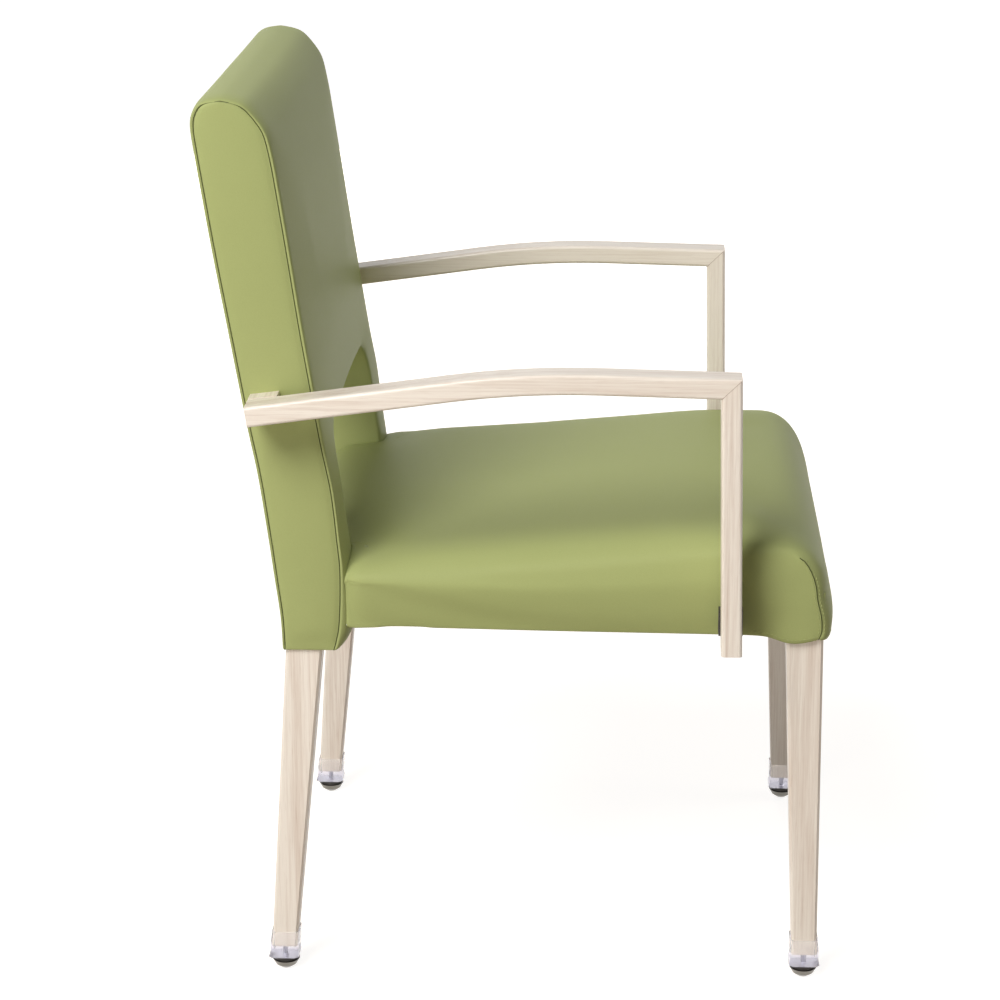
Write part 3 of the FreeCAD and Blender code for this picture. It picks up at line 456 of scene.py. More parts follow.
def seat_point(row, x):
    """A point of the cover: row goes from the front hem over the top to the rear hem."""
    fall = round_off(SEAT_HALF - abs(x), ROLL_REACH)
    arch = 1 - (x / SEAT_HALF) ** 2
    corner = round_off(SEAT_HALF - abs(x), CORNER_REACH)
    in_middle = abs(x) <= NOTCH_SIDE
    tail = TAIL_RADIUS if in_middle else NOTCH_RADIUS
    top_end = seat_rear(x, STILE_MEETING) - tail
    drop = crown = tuck = draw = 0.0
    tail_row = row - FRONT_ROWS - NOSE_ROWS - TOP_ROWS
    if row <= FRONT_ROWS:
        share = row / FRONT_ROWS
        hem = FRONT_HEM + HEM_LIFT * fall
        y = SEAT_FRONT + NOSE_LEAN * soft_step(share, 0.35, 1.0) + HEM_TURN * (1 - soft_step(share, 0.0, 0.2))
        z = hem + (SEAT_CREST - NOSE_RADIUS - hem) * share
        tuck = CORNER_TUCK
        draw = through(hem_tuck, SEAT_FRONT) * (1 - DRAW_LOSS * share) ** 2
    elif row <= FRONT_ROWS + NOSE_ROWS:
        angle = QUARTER * (row - FRONT_ROWS) / NOSE_ROWS
        y = SEAT_FRONT + NOSE_LEAN + (NOSE_RADIUS - NOSE_LEAN) * (1 - math.cos(angle))
        z = SEAT_CREST - NOSE_RADIUS * (1 - math.sin(angle))
        crown = SEAT_CROWN * math.sin(angle)
        tuck = CORNER_TUCK * math.cos(angle) + TOP_TUCK * math.sin(angle)
        drop = through(side_drop, y) * math.sin(angle)
        draw = NOSE_DRAW * math.cos(angle) ** 2
    elif tail_row <= 0:
        share = 1 + tail_row / TOP_ROWS
        first = SEAT_FRONT + NOSE_RADIUS
        y = first + (top_end - first) * share
        z = seat_top(y)
        crown = SEAT_CROWN
        drop = through(side_drop, y)
        tuck = TOP_TUCK * (1 - soft_step(share, 0.0, 0.2))
    else:
        angle = QUARTER * min(1.0, tail_row / TAIL_ROWS)
        share = max(0.0, (tail_row - TAIL_ROWS) / FRONT_ROWS)
        y = top_end + tail * math.sin(angle)
        crown = SEAT_CROWN * (math.cos(angle) if in_middle else 1.0)
        drop = through(side_drop, y)
        shoulder = seat_top(top_end) + crown * arch - drop * fall - tail
        z = shoulder + tail * math.cos(angle) + (through(hem_line, y) - shoulder) * share
        if not in_middle:
            y = y if share == 0 and angle < QUARTER else seat_rear(x, z)
        crown = drop = 0.0
        beside = max(0.0, abs(x) - NOTCH_SIDE) / (SEAT_HALF - NOTCH_SIDE)
        draw = through(hem_tuck, y) * share ** 2 * beside
    across = drawn_in(x, y) * (1 - draw / SEAT_HALF)
    if abs(x) == SEAT_HALF and z < board_high[2]:
        across = math.copysign(max(abs(across), FRAME_HALF), x)
    return (across, y + tuck * corner, z + crown * arch - drop * fall)


seat_rows = FRONT_ROWS + NOSE_ROWS + TOP_ROWS + TAIL_ROWS + FRONT_ROWS + 1
seat_points = [seat_point(row, x) for row in range(seat_rows) for x in seat_xs]
seat_columns = len(seat_xs)
corners = [row * seat_columns + column for row in range(seat_rows - 1) for column in range(seat_columns - 1)]
seat_faces = [(first, first + seat_columns, first + seat_columns + 1, first + 1) for first in corners]
seam_lines = []
dent_low, dent_high = box_mm("arm_spacer_left")
DENT_DEPTH, DENT_FLAT, DENT_REACH = 0.6, 12.0, 40.0


def dent(y, z):
    """How far the bolted spacer of the arm post draws the side in."""
    away = math.hypot(y - (dent_low[1] + dent_high[1]) / 2, z - (dent_low[2] + dent_high[2]) / 2)
    return DENT_DEPTH * (1 - soft_step(away, DENT_FLAT, DENT_REACH))


for side, edge in ((1, 0), (-1, seat_columns - 1)):
    rim = [row * seat_columns + edge for row in range(seat_rows)]
    front_rim = rim[:SIDE_ROWS + 1]
    rear_rim = rim[::-1][:SIDE_ROWS + 1]
    top_rim = rim[SIDE_ROWS:seat_rows - SIDE_ROWS]
    count = len(top_rim)
    grid = np.zeros((SIDE_ROWS + 1, count), int)
    grid[:, 0] = front_rim
    grid[:, -1] = rear_rim
    grid[-1, :] = top_rim
    rims = {name: [np.array(seat_points[i]) for i in line]
            for name, line in (("front", front_rim), ("rear", rear_rim), ("top", top_rim))}
    hem_front, hem_rear = rims["front"][0], rims["rear"][0]
    for row in range(SIDE_ROWS):
        v = row / SIDE_ROWS
        for column in range(1, count - 1):
            u = column / (count - 1)
            y = hem_front[1] + (hem_rear[1] - hem_front[1]) * u
            foot = np.array((side * (SEAT_HALF - through(hem_tuck, y)), y, through(hem_line, y)))
            across = (1 - u) * rims["front"][row] + u * rims["rear"][row]
            upward = (1 - v) * foot + v * rims["top"][column]
            bend = ((1 - v) * ((1 - u) * hem_front + u * hem_rear)
                    + v * ((1 - u) * rims["top"][0] + u * rims["top"][-1]))
            x, y, z = across + upward - bend
            draw = through(hem_tuck, y) * (1 - v) ** 2 + dent(y, z) * soft_step(v, 0.05, 0.3)
            x = side * max(SEAT_HALF - rear_draw(y) - draw, FRAME_HALF if z < board_high[2] else 0.0)
            grid[row, column] = len(seat_points)
            seat_points.append((x, y, z))
    for row in range(SIDE_ROWS):
        for column in range(count - 1):
            low, high = grid[row, column:column + 2], grid[row + 1, column:column + 2]
            seat_faces.append(tuple(int(i) for i in (*low, *high[::-1])))
    seam_lines.append([seat_points[i] for i in rim[:FRONT_ROWS + NOSE_ROWS - 3]])
outer_count = len(seat_points)
FRAME_SIDE, FRAME_FRONT, FRAME_REAR = 252.5, -307.8, 229.3
BOARD_GAP = 0.4
LINING_SIDE, LINING_FRONT, LINING_STILE = 2.5, 3.0, 5.0


def lining(point):
    """Where the cushion's underside lies on the frame, inward of a point of its cover."""
    x, y, z = point
    in_notch = y > NOTCH_FRONT and abs(x) < STILE_HALF - LINING_STILE
    side = NOTCH_SIDE - LINING_SIDE if in_notch else FRAME_SIDE
    rear = FRAME_REAR if abs(x) <= NOTCH_SIDE else NOTCH_FRONT - LINING_FRONT
    return (min(max(x, -side), side), min(max(y, FRAME_FRONT), rear), min(z, board_high[2] + BOARD_GAP))


seat_points += [lining(point) for point in seat_points]
rim_edges = open_edges(seat_faces)
seat_faces += [tuple(outer_count + i for i in quad) for quad in seat_faces]
seat_faces += [(a, b, outer_count + b, outer_count + a) for a, b in rim_edges]
seat_pad = piece_of("seat_cushion", seat_points, seat_faces)
face_outwards(seat_pad)


def sew(piece, lines, depth, inward):
    """Draws a cover in along its seams and keeps them sharp: lines are the seams' points, in millimetres."""
    seam = np.array([point for line in lines for point in line])
    close = 0.02
    on_seam = []
    for vertex in piece.data.vertices:
        away = np.abs(seam - np.array(vertex.co) * 1000).max(1).min()
        on_seam.append(bool(away < close))
    crease = piece.data.attributes.new("crease_edge", "FLOAT", "EDGE")
    for edge in piece.data.edges:
        crease.data[edge.index].value = 0.9 if all(on_seam[i] for i in edge.vertices) else 0.0
    normals = [vertex.normal.copy() for vertex in piece.data.vertices]
    for vertex, normal, sewn in zip(piece.data.vertices, normals, on_seam):
        if sewn:
            vertex.co -= (normal + inward(vertex.co)).normalized() * depth * 0.001
    return on_seam


seat_sewn = sew(seat_pad, seam_lines, depth=1.5,
                inward=lambda place: Vector((math.copysign(0.5, place.x), 0, 0)))
HELD_HEM, HELD_REAR, HELD_BESIDE, HELD_AHEAD = 384.0, 231.0, 3.0, 12.0
seat_held = []
for vertex, sewn in zip(seat_pad.data.vertices, seat_sewn):
    x, y, z = vertex.co * 1000
    on_frame = (abs(x) < FRAME_SIDE + 0.1 and y > FRAME_FRONT - 0.1
                and z < board_high[2] + BOARD_GAP + 0.1)
    low = z < HELD_HEM or (abs(x) < NOTCH_SIDE and y > HELD_REAR)
    by_stile = abs(x) > NOTCH_SIDE - HELD_BESIDE and y > NOTCH_FRONT - HELD_AHEAD
    seat_held.append(1.0 if on_frame or low or by_stile or sewn else 0.0)
plump(seat_pad, seat_held, pressure=2.0, most=3.0)
even_out(seat_pad, seat_held, rounds=8)
smooth_cover(seat_pad)
vinyl_grain, given = effect_group("vinyl_grain", Dye=(0.40, 0.437, 0.176, 1), Crease=(0.35, 0.38, 0.145, 1))
pebbles = add_node(vinyl_grain, "ShaderNodeTexVoronoi", {"Scale": 900.0, "Randomness": 1.0},
                   feature="DISTANCE_TO_EDGE")
vinyl_grain.links.new(given["Vector"], pebbles.inputs["Vector"])
valley = spread(vinyl_grain, pebbles.outputs["Distance"], 0.0, 0.22)
mottle = stretched_noise(vinyl_grain, given["Vector"], (9, 9, 9), Detail=3.0)
fine = stretched_noise(vinyl_grain, given["Vector"], (2200, 2200, 2200), Detail=2.0)
tint = weighed_sum(vinyl_grain, (mottle, 0.45), (reckon(vinyl_grain, "SUBTRACT", 1.0, valley), 0.4))
close_group(vinyl_grain, blend_colours(vinyl_grain, tint, given["Dye"], given["Crease"]),
            weighed_sum(vinyl_grain, (fine, 0.12), (0.4, 1.0)),
            weighed_sum(vinyl_grain, (valley, 1.0), (fine, 0.3)))
green_vinyl = surface("green_vinyl", vinyl_grain, (0, 0, 0), {}, (0.18, 0.0003), Specular_IOR_Level=0.08)
seat_pad.data.materials.append(green_vinyl)
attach(seat_pad, "chair")
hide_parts("seat_cover", "seat_foam")


def line_tree(name, titles, lay):
    """Geometry nodes along the lines of a mesh, where lay makes something from sizes and a curve."""
    tree = bpy.data.node_groups.new(name, "GeometryNodeTree")
    tree.interface.new_socket("Geometry", in_out="INPUT", socket_type="NodeSocketGeometry")
    for title in titles:
        tree.interface.new_socket(title, in_out="INPUT", socket_type="NodeSocketFloat")
    tree.interface.new_socket("Material", in_out="INPUT", socket_type="NodeSocketMaterial")
    tree.interface.new_socket("Geometry", in_out="OUTPUT", socket_type="NodeSocketGeometry")
    sizes, out = tree.nodes.new("NodeGroupInput").outputs, tree.nodes.new("NodeGroupOutput")
    line = add_node(tree, "GeometryNodeMeshToCurve")
    solid = add_node(tree, "GeometryNodeRealizeInstances")
    coloured = add_node(tree, "GeometryNodeSetMaterial")
    for start, end in (
            (sizes["Geometry"], line.inputs["Mesh"]),
            (lay(tree, sizes, line.outputs["Curve"]), solid.inputs["Geometry"]),
            (solid.outputs["Geometry"], coloured.inputs["Geometry"]),
            (sizes["Material"], coloured.inputs["Material"]),
            (coloured.outputs["Geometry"], out.inputs["Geometry"])):
        tree.links.new(start, end)
    return tree


def lay_threads(tree, sizes, curve):
    """Short threads, one to a pitch."""
    places = add_node(tree, "GeometryNodeCurveToPoints", mode="LENGTH")
    thread = add_node(tree, "GeometryNodeMeshIcoSphere", {"Radius": 1.0, "Subdivisions": 1})
    shape = add_node(tree, "ShaderNodeCombineXYZ")
    laid = add_node(tree, "GeometryNodeInstanceOnPoints")
    half = reckon(tree, "MULTIPLY", sizes["Length"], 0.5)
    for start, end in (
            (curve, places.inputs["Curve"]), (sizes["Pitch"], places.inputs["Length"]),
            (sizes["Thread"], shape.inputs["X"]), (sizes["Thread"], shape.inputs["Y"]),
            (half, shape.inputs["Z"]), (places.outputs["Points"], laid.inputs["Points"]),
            (thread.outputs["Mesh"], laid.inputs["Instance"]),
            (places.outputs["Rotation"], laid.inputs["Rotation"]),
            (shape.outputs["Vector"], laid.inputs["Scale"])):
        tree.links.new(start, end)
    return laid.outputs["Instances"]


def lay_line(tree, sizes, curve):
    """A thin round line."""
    ring = add_node(tree, "GeometryNodeCurvePrimitiveCircle", {"Resolution": 6})
    swept = add_node(tree, "GeometryNodeCurveToMesh", {"Fill Caps": True})
    for start, end in (
            (reckon(tree, "MULTIPLY", sizes["Thickness"], 0.5), ring.inputs["Radius"]),
            (curve, swept.inputs["Curve"]), (ring.outputs["Curve"], swept.inputs["Profile Curve"])):
        tree.links.new(start, end)
    return swept.outputs["Mesh"]


def follow(name, lines, cover, tree, **wanted):
    """What a tree lays along lines in millimetres, set down on a cover, as a plain mesh."""
    points, edges = [], []
    lift = 0.0001
    shape = cover.evaluated_get(bpy.context.evaluated_depsgraph_get()) if cover else None
    for line in lines:
        for place, point in enumerate(line):
            spot = Vector(point) * 0.001
            if cover:
                _, spot, normal, _ = shape.closest_point_on_mesh(spot)
                spot = spot + normal * lift
            if place:
                edges.append((len(points) - 1, len(points)))
            points.append(spot)
    guide_mesh = bpy.data.meshes.new(name)
    guide_mesh.from_pydata(points, edges, [])
    guide = put(name, guide_mesh)
    rows = guide.modifiers.new("follow", "NODES")
    rows.node_group = tree
    for socket in tree.interface.items_tree:
        if socket.in_out == "INPUT" and socket.name in wanted:
            rows[socket.identifier] = wanted[socket.name]
    graph = bpy.context.evaluated_depsgraph_get()
    plain = bpy.data.meshes.new_from_object(guide.evaluated_get(graph), depsgraph=graph)
    guide.modifiers.remove(rows)
    guide.data = plain
    return guide


STITCH_OFFSET = 2.6
STITCH_RISE = 5.0
STITCH_TOP, STITCH_FRONT, STITCH_REAR = 462.0, -296.0, 160.0
hem_ys = steps_between(STITCH_FRONT, STITCH_REAR, 60)
stitch_lines = []
for side, seam in zip((1, -1), seam_lines):
    low_seam = [point for point in seam if point[2] < STITCH_TOP]
    stitch_lines.append([(x, y + STITCH_OFFSET, z) for x, y, z in low_seam])
    stitch_lines.append([(x - side * STITCH_OFFSET, y - STITCH_OFFSET, z) for x, y, z in low_seam])
    stitch_lines.append([(side * (SEAT_HALF - through(hem_tuck, y)), y, through(hem_line, y) + STITCH_RISE)
                         for y in hem_ys])
front_stitch = FRONT_HEM + HEM_LIFT + STITCH_RISE
stitch_lines.append([(x, SEAT_FRONT + 2, front_stitch) for x in steps_between(-250.0, 250.0, 50)])
thread_look, given = effect_group("twisted_thread", Thread=(0.33, 0.36, 0.13, 1))
twist = stretched_noise(thread_look, given["Vector"], (2500, 2500, 2500), Detail=2.0)
close_group(thread_look, blend_colours(thread_look, twist, given["Thread"], (0.46, 0.49, 0.2, 1)),
            weighed_sum(thread_look, (twist, 0.2), (0.5, 1.0)), twist)
green_thread = surface("green_thread", thread_look, (0, 0, 0), {}, (0.3, 0.0002))
stitch_row = line_tree("stitch_row", ("Pitch", "Length", "Thread"), lay_threads)
seat_stitches = follow("seat_stitches", stitch_lines, seat_pad, stitch_row,
                       Pitch=0.0042, Length=0.003, Thread=0.0005, Material=green_thread)
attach(seat_stitches, "chair")
# Painted seam shade: a thin near-black green cord is laid along each sewn seam. It stands in for the shade
# inside the seam's groove and is not a part of the cover.
thin_cord = line_tree("thin_cord", ("Thickness",), lay_line)
painted_seam_shade = surface("vinyl_painted_seam_shade", vinyl_grain, (0, 0, 0), {
    "Dye": (0.11, 0.12, 0.045, 1), "Crease": (0.07, 0.08, 0.03, 1)}, (0.18, 0.0003), Specular_IOR_Level=0.1)
seat_seam_shade = follow("seat_seam_painted_shade", seam_lines, seat_pad, thin_cord, Thickness=0.0011, Material=painted_seam_shade)
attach(seat_seam_shade, "chair")

# Back cushion: foam on a plywood front board and over the top rail, in a green vinyl wrap with a flat
# panel sewn in at each side. Its two lower ends sheathe the uprights, and an arch between them is open.
_, back_high = box_mm("back_cover")
BACK_HALF = back_high[0] + 1.5
rear_seam = [
    (358.0, 236.6), (394.0, 238.1), (434.6, 243.0), (479.8, 248.5), (545.3, 257.4), (591.1, 265.9),
    (691.9, 282.6), (771.6, 295.8), (845.0, 306.8), (877.0, 311.4)]
FRONT_TURN, REAR_TURN, LIFT_START = 850.0, 877.0, 600.0
front_top = [(232.6, 850.0), (237.9, 875.9), (243.6, 890.0), (258.4, 908.1), (270.0, 913.4), (283.0, 915.8)]
rear_top = [(311.4, 877.0), (312.6, 889.0), (311.5, 900.0), (305.6, 910.0), (297.0, 914.2), (283.0, 915.8)]
FRONT_PUFF, REAR_PUFF, TOP_PUFF = 3.4, 1.2, 5.0
BACK_CROWN, CROWN_HALF, CROWN_START, CROWN_FULL = 2.0, 228.0, 590.0, 700.0
ARCH_HALF, ARCH_SPRING, ARCH_RISE, ARCH_CORNER = 185.0, 574.0, 6.0, 40.0
EDGE, RIM, RIM_FULL = 27.0, 16.0, 0.25
edge_angles = [90, 78, 62, 44, 22, 0]
side_columns = [BACK_HALF - EDGE * (1 - math.sin(math.radians(angle))) for angle in edge_angles]
side_columns += steps_between(BACK_HALF - EDGE, ARCH_HALF, 5)[1:]
back_xs = [-x for x in side_columns] + steps_between(-ARCH_HALF, ARCH_HALF, 42)[1:-1] + side_columns[::-1]
left_edge, right_edge = len(side_columns) - 1, len(back_xs) - len(side_columns)
back_hem, hem_zone = 359.5, 380.0
back_zs = steps_between(back_hem, hem_zone, 4) + steps_between(hem_zone, ARCH_SPRING - ARCH_CORNER, 16)[1:]
back_zs += steps_between(ARCH_SPRING - ARCH_CORNER, ARCH_SPRING, 5)[1:]
arch_row = len(back_zs) - 1
back_zs += steps_between(ARCH_SPRING, FRONT_TURN, 30)[1:]
straight_rows = len(back_zs)
TURN_ROWS = 12
back_rows = straight_rows + TURN_ROWS
plane = np.array([[(x, z) for x in back_xs] for z in back_zs], float)
pinned = np.ones(plane.shape[:2], bool)
FREE_ROWS, FREE_COLUMNS, EVENING_ROUNDS = 12, 4, 60
far_left, far_right = left_edge - FREE_COLUMNS, right_edge + FREE_COLUMNS + 1
pinned[arch_row + 1:arch_row + FREE_ROWS, far_left:far_right] = False
pinned[arch_row - FREE_ROWS:arch_row + 1, far_left:left_edge] = False
pinned[arch_row - FREE_ROWS:arch_row + 1, right_edge + 1:far_right] = False
for column in range(left_edge, right_edge + 1):
    x = plane[arch_row, column, 0]
    plane[arch_row, column, 1] = ARCH_SPRING + ARCH_RISE * max(0.0, 1 - (x / (ARCH_HALF - ARCH_CORNER)) ** 2)
for sign, edge, inward in ((-1, left_edge, 1), (1, right_edge, -1)):
    spots = [(arch_row - 5 + k, edge) for k in range(6)]
    column = edge + inward
    while abs(abs(back_xs[column]) - ARCH_HALF) < ARCH_CORNER:
        spots.append((arch_row, column))
        column += inward
    for place, (row, column) in enumerate(spots):
        angle = QUARTER * place / len(spots)
        plane[row, column] = (sign * (ARCH_HALF - ARCH_CORNER * (1 - math.cos(angle))),
                              ARCH_SPRING - ARCH_CORNER * (1 - math.sin(angle)))
for _ in range(EVENING_ROUNDS):
    mean = (np.roll(plane, 1, 0) + np.roll(plane, -1, 0) + np.roll(plane, 1, 1) + np.roll(plane, -1, 1)) / 4
    plane[~pinned] = mean[~pinned]


def along_points(points, share):
    """A point on a smooth line through points, spaced by their order."""
    places = list(range(len(points)))
    value = share * (len(points) - 1)
    return tuple(through(list(zip(places, [p[axis] for p in points])), value) for axis in (0, 1))


def arch_gap(x, z):
    """How far a place on the back's face is from the arch's edge."""
    over_x = max(abs(x) - (ARCH_HALF - ARCH_CORNER), 0.0)
    over_z = z - (ARCH_SPRING - ARCH_CORNER)
    if over_z <= 0:
        return abs(x) - ARCH_HALF
    return math.hypot(over_x, over_z) - ARCH_CORNER


def fullness(x, z):
    """0 on a seam or the arch's edge, 1 on the open face of the pad."""
    rim = 1 - round_off(arch_gap(x, z), RIM)
    return (1 - round_off(BACK_HALF - abs(x), EDGE)) * (RIM_FULL + (1 - RIM_FULL) * rim)


def back_point(row, column, front):
    """A point of the front or rear sheet: rows go up the straight part, then over the top to the crest."""
    if row < straight_rows:
        x, z = plane[row, column]
        full = fullness(x, z)
        if front:
            crown = BACK_CROWN * max(0.0, 1 - (x / CROWN_HALF) ** 2) * soft_step(z, CROWN_START, CROWN_FULL)
            y = through(stile_seam, z) * (1 - full) + through(stile_pad, z) * full - crown
            return (x, y, z)
        lifted = z + (REAR_TURN - FRONT_TURN) * soft_step(z, LIFT_START, FRONT_TURN)
        return (x, through(rear_seam, lifted) + REAR_PUFF * full, lifted)
    share = (row - straight_rows + 1) / TURN_ROWS
    x = back_xs[column]
    full = fullness(x, FRONT_TURN)
    line = front_top if front else rear_top
    y, z = along_points(line, share)
    ahead = along_points(line, min(1.0, share + 0.01))
    behind = along_points(line, max(0.0, share - 0.01))
    dy, dz = ahead[0] - behind[0], ahead[1] - behind[1]
    if share == 1.0:
        outward = (0.0, 1.0)
    else:
        length = math.hypot(dy, dz)
        outward = (-dz / length, dy / length) if front else (dz / length, -dy / length)
    puff = (FRONT_PUFF if front else REAR_PUFF) * (1 - share) + TOP_PUFF * share
    crown = (BACK_CROWN if front else 0.0) * max(0.0, 1 - (x / CROWN_HALF) ** 2) * (1 - share)
    return (x, y + outward[0] * (puff * full + crown), z + outward[1] * puff * full)


back_columns = len(back_xs)
back_points = []
number = {}
for front in (True, False):
    for row in range(back_rows):
        for column in range(back_columns):
            if row < arch_row and left_edge < column < right_edge:
                continue
            if not front and row == back_rows - 1:
                number[front, row, column] = number[True, row, column]
                continue
            number[front, row, column] = len(back_points)
            back_points.append(back_point(row, column, front))
back_faces = []
back_cells = []
for row in range(back_rows - 1):
    for column in range(back_columns - 1):
        if row < arch_row and left_edge <= column < right_edge:
            continue
        corners = [(row, column), (row, column + 1), (row + 1, column + 1), (row + 1, column)]
        back_faces.append(tuple(number[(True,) + c] for c in corners))
        back_faces.append(tuple(number[(False,) + c] for c in reversed(corners)))
        back_cells.append(corners)
crest = back_rows - 1
loop_edges = [(a, b) for a, b in open_edges(back_cells) if not a[0] == b[0] == crest]
SIDE_SHARES = [0.0, 0.035, 0.09, 0.18, 0.3, 0.43, 0.57, 0.7, 0.82, 0.91, 0.965, 1.0]
SIDE_PUFF = 3.0
SEAM_DIP = 1.6
SEAM_LIP = 0.5
rungs = {}


def rung(place):
    """The points from the front sheet to the rear one across a side panel, a hem or the arch's wall."""
    if place in rungs:
        return rungs[place]
    first, last = number[(True,) + place], number[(False,) + place]
    chain = [first]
    if first != last:
        a, b = np.array(back_points[first]), np.array(back_points[last])
        on_side = place[1] in (0, back_columns - 1)
        sign = -1 if place[1] == 0 else 1
        for share in SIDE_SHARES[1:-1]:
            swell = math.sin(math.pi * share) ** 0.7
            point = a + (b - a) * share
            if on_side and place[0] > 0:
                low = soft_step(place[0], 0, 5)
                seam_dip = SEAM_DIP if share in (SIDE_SHARES[1], SIDE_SHARES[-2]) else 0.0
                point = point + np.array((sign * (SIDE_PUFF * swell * low - seam_dip), 0, 0))
            chain.append(len(back_points))
            back_points.append(tuple(point))
        chain.append(last)
    else:
        chain = [first] * len(SIDE_SHARES)
    rungs[place] = chain
    return chain


for a, b in loop_edges:
    low, high = rung(a), rung(b)
    for step in range(len(SIDE_SHARES) - 1):
        quad = [low[step], low[step + 1], high[step + 1], high[step]]
        quad = [v for place, v in enumerate(quad) if v not in quad[:place]]
        if len(quad) > 2:
            back_faces.append(tuple(quad))
back_pad = piece_of("back_cushion", back_points, back_faces)
face_outwards(back_pad)
side_seams = [[back_points[number[front, row, column]] for row in range(back_rows)]
              for front in (True, False) for column in (0, back_columns - 1)]
sew(back_pad, side_seams, depth=-SEAM_LIP, inward=lambda place: Vector((math.copysign(2.0, place.x), 0, 0)))
HELD_RIM, HELD_FOOT = 6.0, 372.0
back_held = []
for vertex in back_pad.data.vertices:
    x, y, z = vertex.co * 1000
    close = BACK_HALF - abs(x) < HELD_RIM or arch_gap(x, z) < HELD_RIM or z < HELD_FOOT
    back_held.append(1.0 if close else 0.0)
plump(back_pad, back_held, pressure=2.0, most=4.0)
smooth_cover(back_pad)
back_pad.data.materials.append(green_vinyl)
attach(back_pad, "chair")
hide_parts("back_cover", "back_foam", *pair("back_side_panel"))
# Painted seam shade: the same dark cord runs along the back's side seams. It stands in for the shade in their
# grooves.
back_seams = []
for column in (0, back_columns - 1):
    going_up = [back_points[rung((row, column))[1]] for row in range(back_rows)]
    going_down = [back_points[rung((row, column))[-2]] for row in range(back_rows - 1)]
    back_seams.append(going_up + going_down[::-1])
back_seam_shade = follow("back_seam_painted_shade", back_seams, back_pad, thin_cord, Thickness=0.0012, Material=painted_seam_shade)
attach(back_seam_shade, "chair")

# Arms: flattened aluminium tube with the ash finish, bent to a long shallow curve, mitred and welded to
# an upright post at the front and to a short return at the rear. Black spacers stand the posts off.
ash_lengthwise = ash_finish("ash_lengthwise", (QUARTER, 0, 0))
ash_across = ash_finish("ash_across", (0, QUARTER, 0))
dress(ash_lengthwise, *pair("arm_rail"))
dress(ash_upright, *pair("arm_post"))
dress(ash_across, *pair("arm_return"))
MITRE_REACH, NEAR, MITRE_INSET = 40.0, 0.5, 1.5
mitre_lines = []
for name in pair("arm_post"):
    post_low, post_high = box_mm(name)
    places = np.array([vertex.co for vertex in part[name].data.vertices]) * 1000
    front_y = places[places[:, 2] > post_high[2] - NEAR, 1].min()
    deepest = places[places[:, 2] > post_high[2] - MITRE_REACH, 1].max()
    rear_z = places[places[:, 1] > deepest - NEAR, 2].max()
    rear_y = places[np.abs(places[:, 2] - rear_z) < NEAR, 1].max()
    for x in (post_low[0], post_high[0]):
        mitre_lines.append([(x, front_y + MITRE_INSET, post_high[2] - MITRE_INSET), (x, rear_y, rear_z)])
mitre_brown = surface("mitre_weld", ash_grain, (0, 0, 0), {
    "Pale": (0.45, 0.35, 0.27, 1), "Vein": (0.34, 0.25, 0.19, 1)}, (0.25, 0.0002))
mitres = follow("arm_mitre_welds", mitre_lines, None, thin_cord, Thickness=0.0005, Material=mitre_brown)
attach(mitres, "chair")
moulded, given = effect_group(
    "moulded_speckle", Plastic=(0.034, 0.028, 0.024, 1), Worn=(0.06, 0.056, 0.052, 1), Gloss=0.4)
speckle = stretched_noise(moulded, given["Vector"], (1500, 1500, 1500), Detail=3.0)
handled = stretched_noise(moulded, given["Vector"], (120, 120, 120), Detail=3.0)
wear = spread(moulded, handled, 0.4, 0.7)
close_group(moulded, blend_colours(moulded, wear, given["Plastic"], given["Worn"]),
            weighed_sum(moulded, (given["Gloss"], 1.0), (speckle, 0.15)), speckle)
black_plastic = surface("black_plastic", moulded, (0, 0, 0), {}, (0.15, 0.0001))
dress(black_plastic, *pair("post_plug"), *pair("arm_spacer"))

# Feet: a clear soft plastic boot pushed over each leg tip, and a nickel plated dome glide with a black
# collar that tilts on the ball stud moulded into the boot's floor.
corners = [end + side for end in ("_front", "_rear") for side in ("_left", "_right")]
dress(black_plastic, *["glide_collar" + place for place in corners])
# Painted reflection: the dome's metal colour is set very dark. It stands in for the dark surroundings the
# dome reflects, not for nickel's own colour.
nickel = surface("nickel_dark_painted_reflection", mill_grain, (0, 0, 0), {"Metal": (0.16, 0.15, 0.125, 1), "Dull": 0.1},
                 (0.05, 0.0001), Metallic=1.0)
dress(nickel, *["glide_base" + place for place in corners])
boot_look, given = effect_group(
    "boot_plastic", Wall=(0.985, 0.975, 0.975, 1), Sole=(0.79, 0.77, 0.86, 1),
    Leg_End=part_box("front_leg_left")[0][2])
along = add_node(boot_look, "ShaderNodeSeparateXYZ")
boot_look.links.new(given["Vector"], along.inputs["Vector"])
below = reckon(boot_look, "SUBTRACT", given["Leg_End"], along.outputs["Z"])
sole = spread(boot_look, below, -0.002, 0.002)
scuffs = stretched_noise(boot_look, given["Vector"], (180, 180, 180), Detail=3.0)
tone = blend_colours(boot_look, sole, given["Wall"], given["Sole"])
scuffed = reckon(boot_look, "MULTIPLY", spread(boot_look, scuffs, 0.5, 0.75), 0.25)
close_group(boot_look, blend_colours(boot_look, scuffed, tone, (0.74, 0.72, 0.78, 1)),
            weighed_sum(boot_look, (scuffs, 0.12), (sole, 0.12), (0.03, 1.0)), scuffs)
clear_plastic = surface("clear_plastic", boot_look, (0, 0, 0), {}, (0.08, 0.0001),
                        Transmission_Weight=0.85, IOR=1.3)
dress(clear_plastic, *["boot" + place for place in corners])

# Studio: a white floor that runs out of sight, one large soft lamp on the left of the camera, a low one
# under it and weaker ones in front and on the far side, in an even white surround. No reflection shows
# the low lamp or the far one.


def seen_rays(tree):
    """1 for rays from the camera, straight or by way of gloss or clear plastic, and 0 for others."""
    path = add_node(tree, "ShaderNodeLightPath").outputs
    seen = reckon(tree, "MAXIMUM", path["Is Camera Ray"], path["Is Glossy Ray"])
    return reckon(tree, "MAXIMUM", seen, path["Is Transmission Ray"])


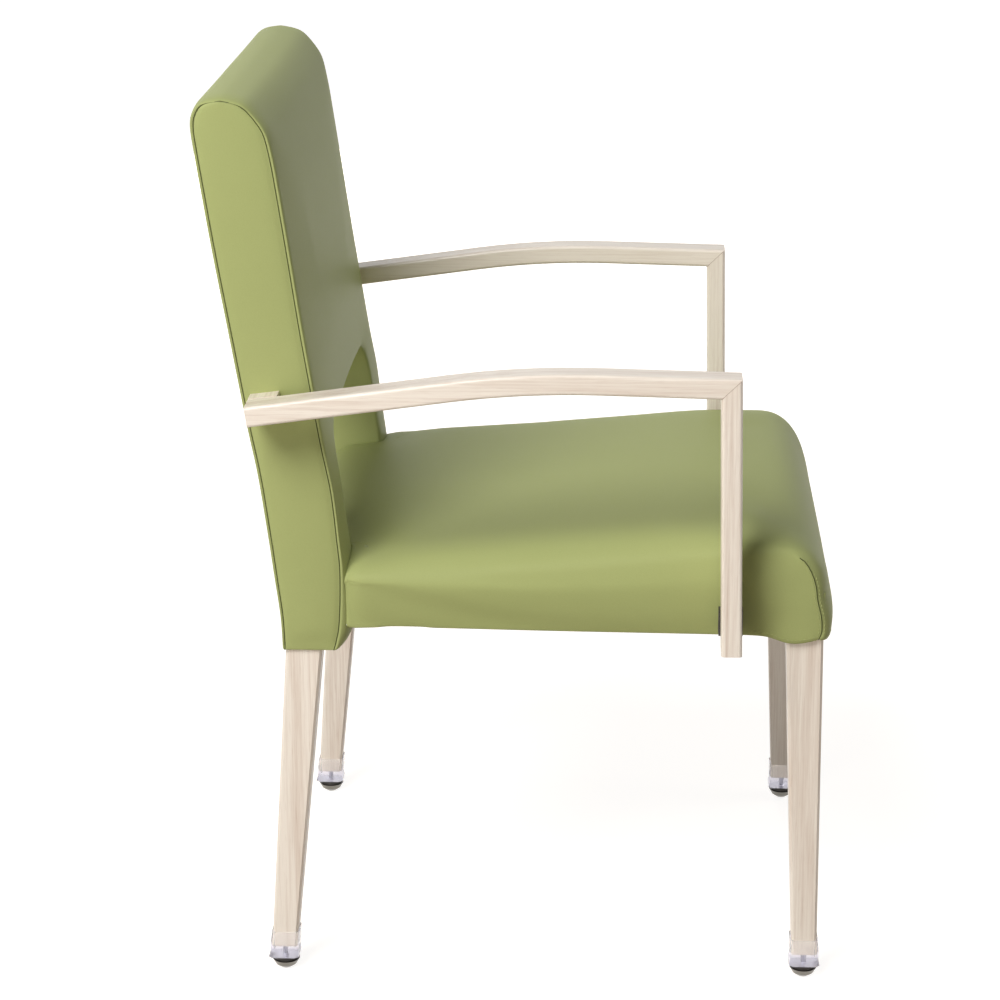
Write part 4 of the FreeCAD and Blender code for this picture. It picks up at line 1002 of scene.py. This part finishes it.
FAR = 30000.0
floor_corners = [(-FAR, -FAR, 0), (FAR, -FAR, 0), (FAR, FAR, 0), (-FAR, FAR, 0)]
floor = piece_of("studio_floor", floor_corners, [(0, 1, 2, 3)])
white_floor = bpy.data.materials.new("white_floor")
white_floor.use_nodes = True
tree = white_floor.node_tree
matt = tree.nodes["Principled BSDF"]
matt.inputs["Roughness"].default_value = 0.9
matt.inputs["Specular IOR Level"].default_value = 0.0
matt.inputs["Base Color"].default_value = (0.5, 0.44, 0.37, 1)
floor_place = add_node(tree, "ShaderNodeTexCoord")
away = add_node(tree, "ShaderNodeVectorMath", operation="LENGTH")
tree.links.new(floor_place.outputs["Object"], away.inputs[0])
glow = add_node(tree, "ShaderNodeMapRange", {"From Min": 0.6, "From Max": 2.2, "To Min": 0.86, "To Max": 1.0})
tree.links.new(away.outputs["Value"], glow.inputs["Value"])
brightness = reckon(tree, "MULTIPLY", seen_rays(tree), glow.outputs["Result"])
tree.links.new(brightness, matt.inputs["Emission Strength"])
matt.inputs["Emission Color"].default_value = (1, 1, 1, 1)
floor.data.materials.append(white_floor)
world = bpy.data.worlds.new("white_surround")
bpy.context.scene.world = world
world.use_nodes = True
tree = world.node_tree
sky = tree.nodes["Background"]
strength = add_node(tree, "ShaderNodeMapRange", {"To Min": 0.1, "To Max": 1.0})
tree.links.new(seen_rays(tree), strength.inputs["Value"])
tree.links.new(strength.outputs["Result"], sky.inputs["Strength"])
sky.inputs["Color"].default_value = (1, 1, 1, 1)
AIM = Vector((0, 0, 0.5))
lamps = [
    ("soft_key", (-0.62, 0.36, 0.7), 4.5, 2.4, 172), ("soft_front", (0.15, -0.85, 0.5), 3.5, 2.0, 14),
    ("soft_side", (0.97, 0.2, 0.1), 4.5, 2.4, 75), ("soft_low", (-0.86, 0.5, 0.06), 4.5, 2.0, 48)]
MIRRORED = ("soft_key", "soft_front")
for name, way, distance, size, power in lamps:
    toward = Vector(way).normalized()
    lamp = bpy.data.lights.new(name, "AREA")
    lamp.shape = "DISK"
    lamp.size = size
    lamp.energy = power
    holder = put(name, lamp)
    holder.location = AIM + toward * distance
    holder.rotation_euler = (-toward).to_track_quat("-Z", "Y").to_euler()
    holder.visible_glossy = holder.visible_transmission = name in MIRRORED
CAMERA_PLACE = (-2.99837, -0.10807, 1.36936)
yaw, pitch, roll = math.radians(2.604), math.radians(17.18), math.radians(-0.187)
forward = Vector((math.cos(pitch) * math.cos(yaw), math.cos(pitch) * math.sin(yaw), -math.sin(pitch)))
level = Vector((math.sin(yaw), -math.cos(yaw), 0))
upward = level.cross(forward)
right = math.cos(roll) * level + math.sin(roll) * upward
up = math.cos(roll) * upward - math.sin(roll) * level
lens = bpy.data.cameras.new("camera")
lens.sensor_width = 36
lens.lens = 104.4
camera = put("camera", lens)
turn = Matrix((right, up, -forward)).transposed().to_4x4()
camera.matrix_world = Matrix.Translation(CAMERA_PLACE) @ turn
bpy.context.scene.camera = camera
bpy.context.scene.view_settings.view_transform = "Standard"
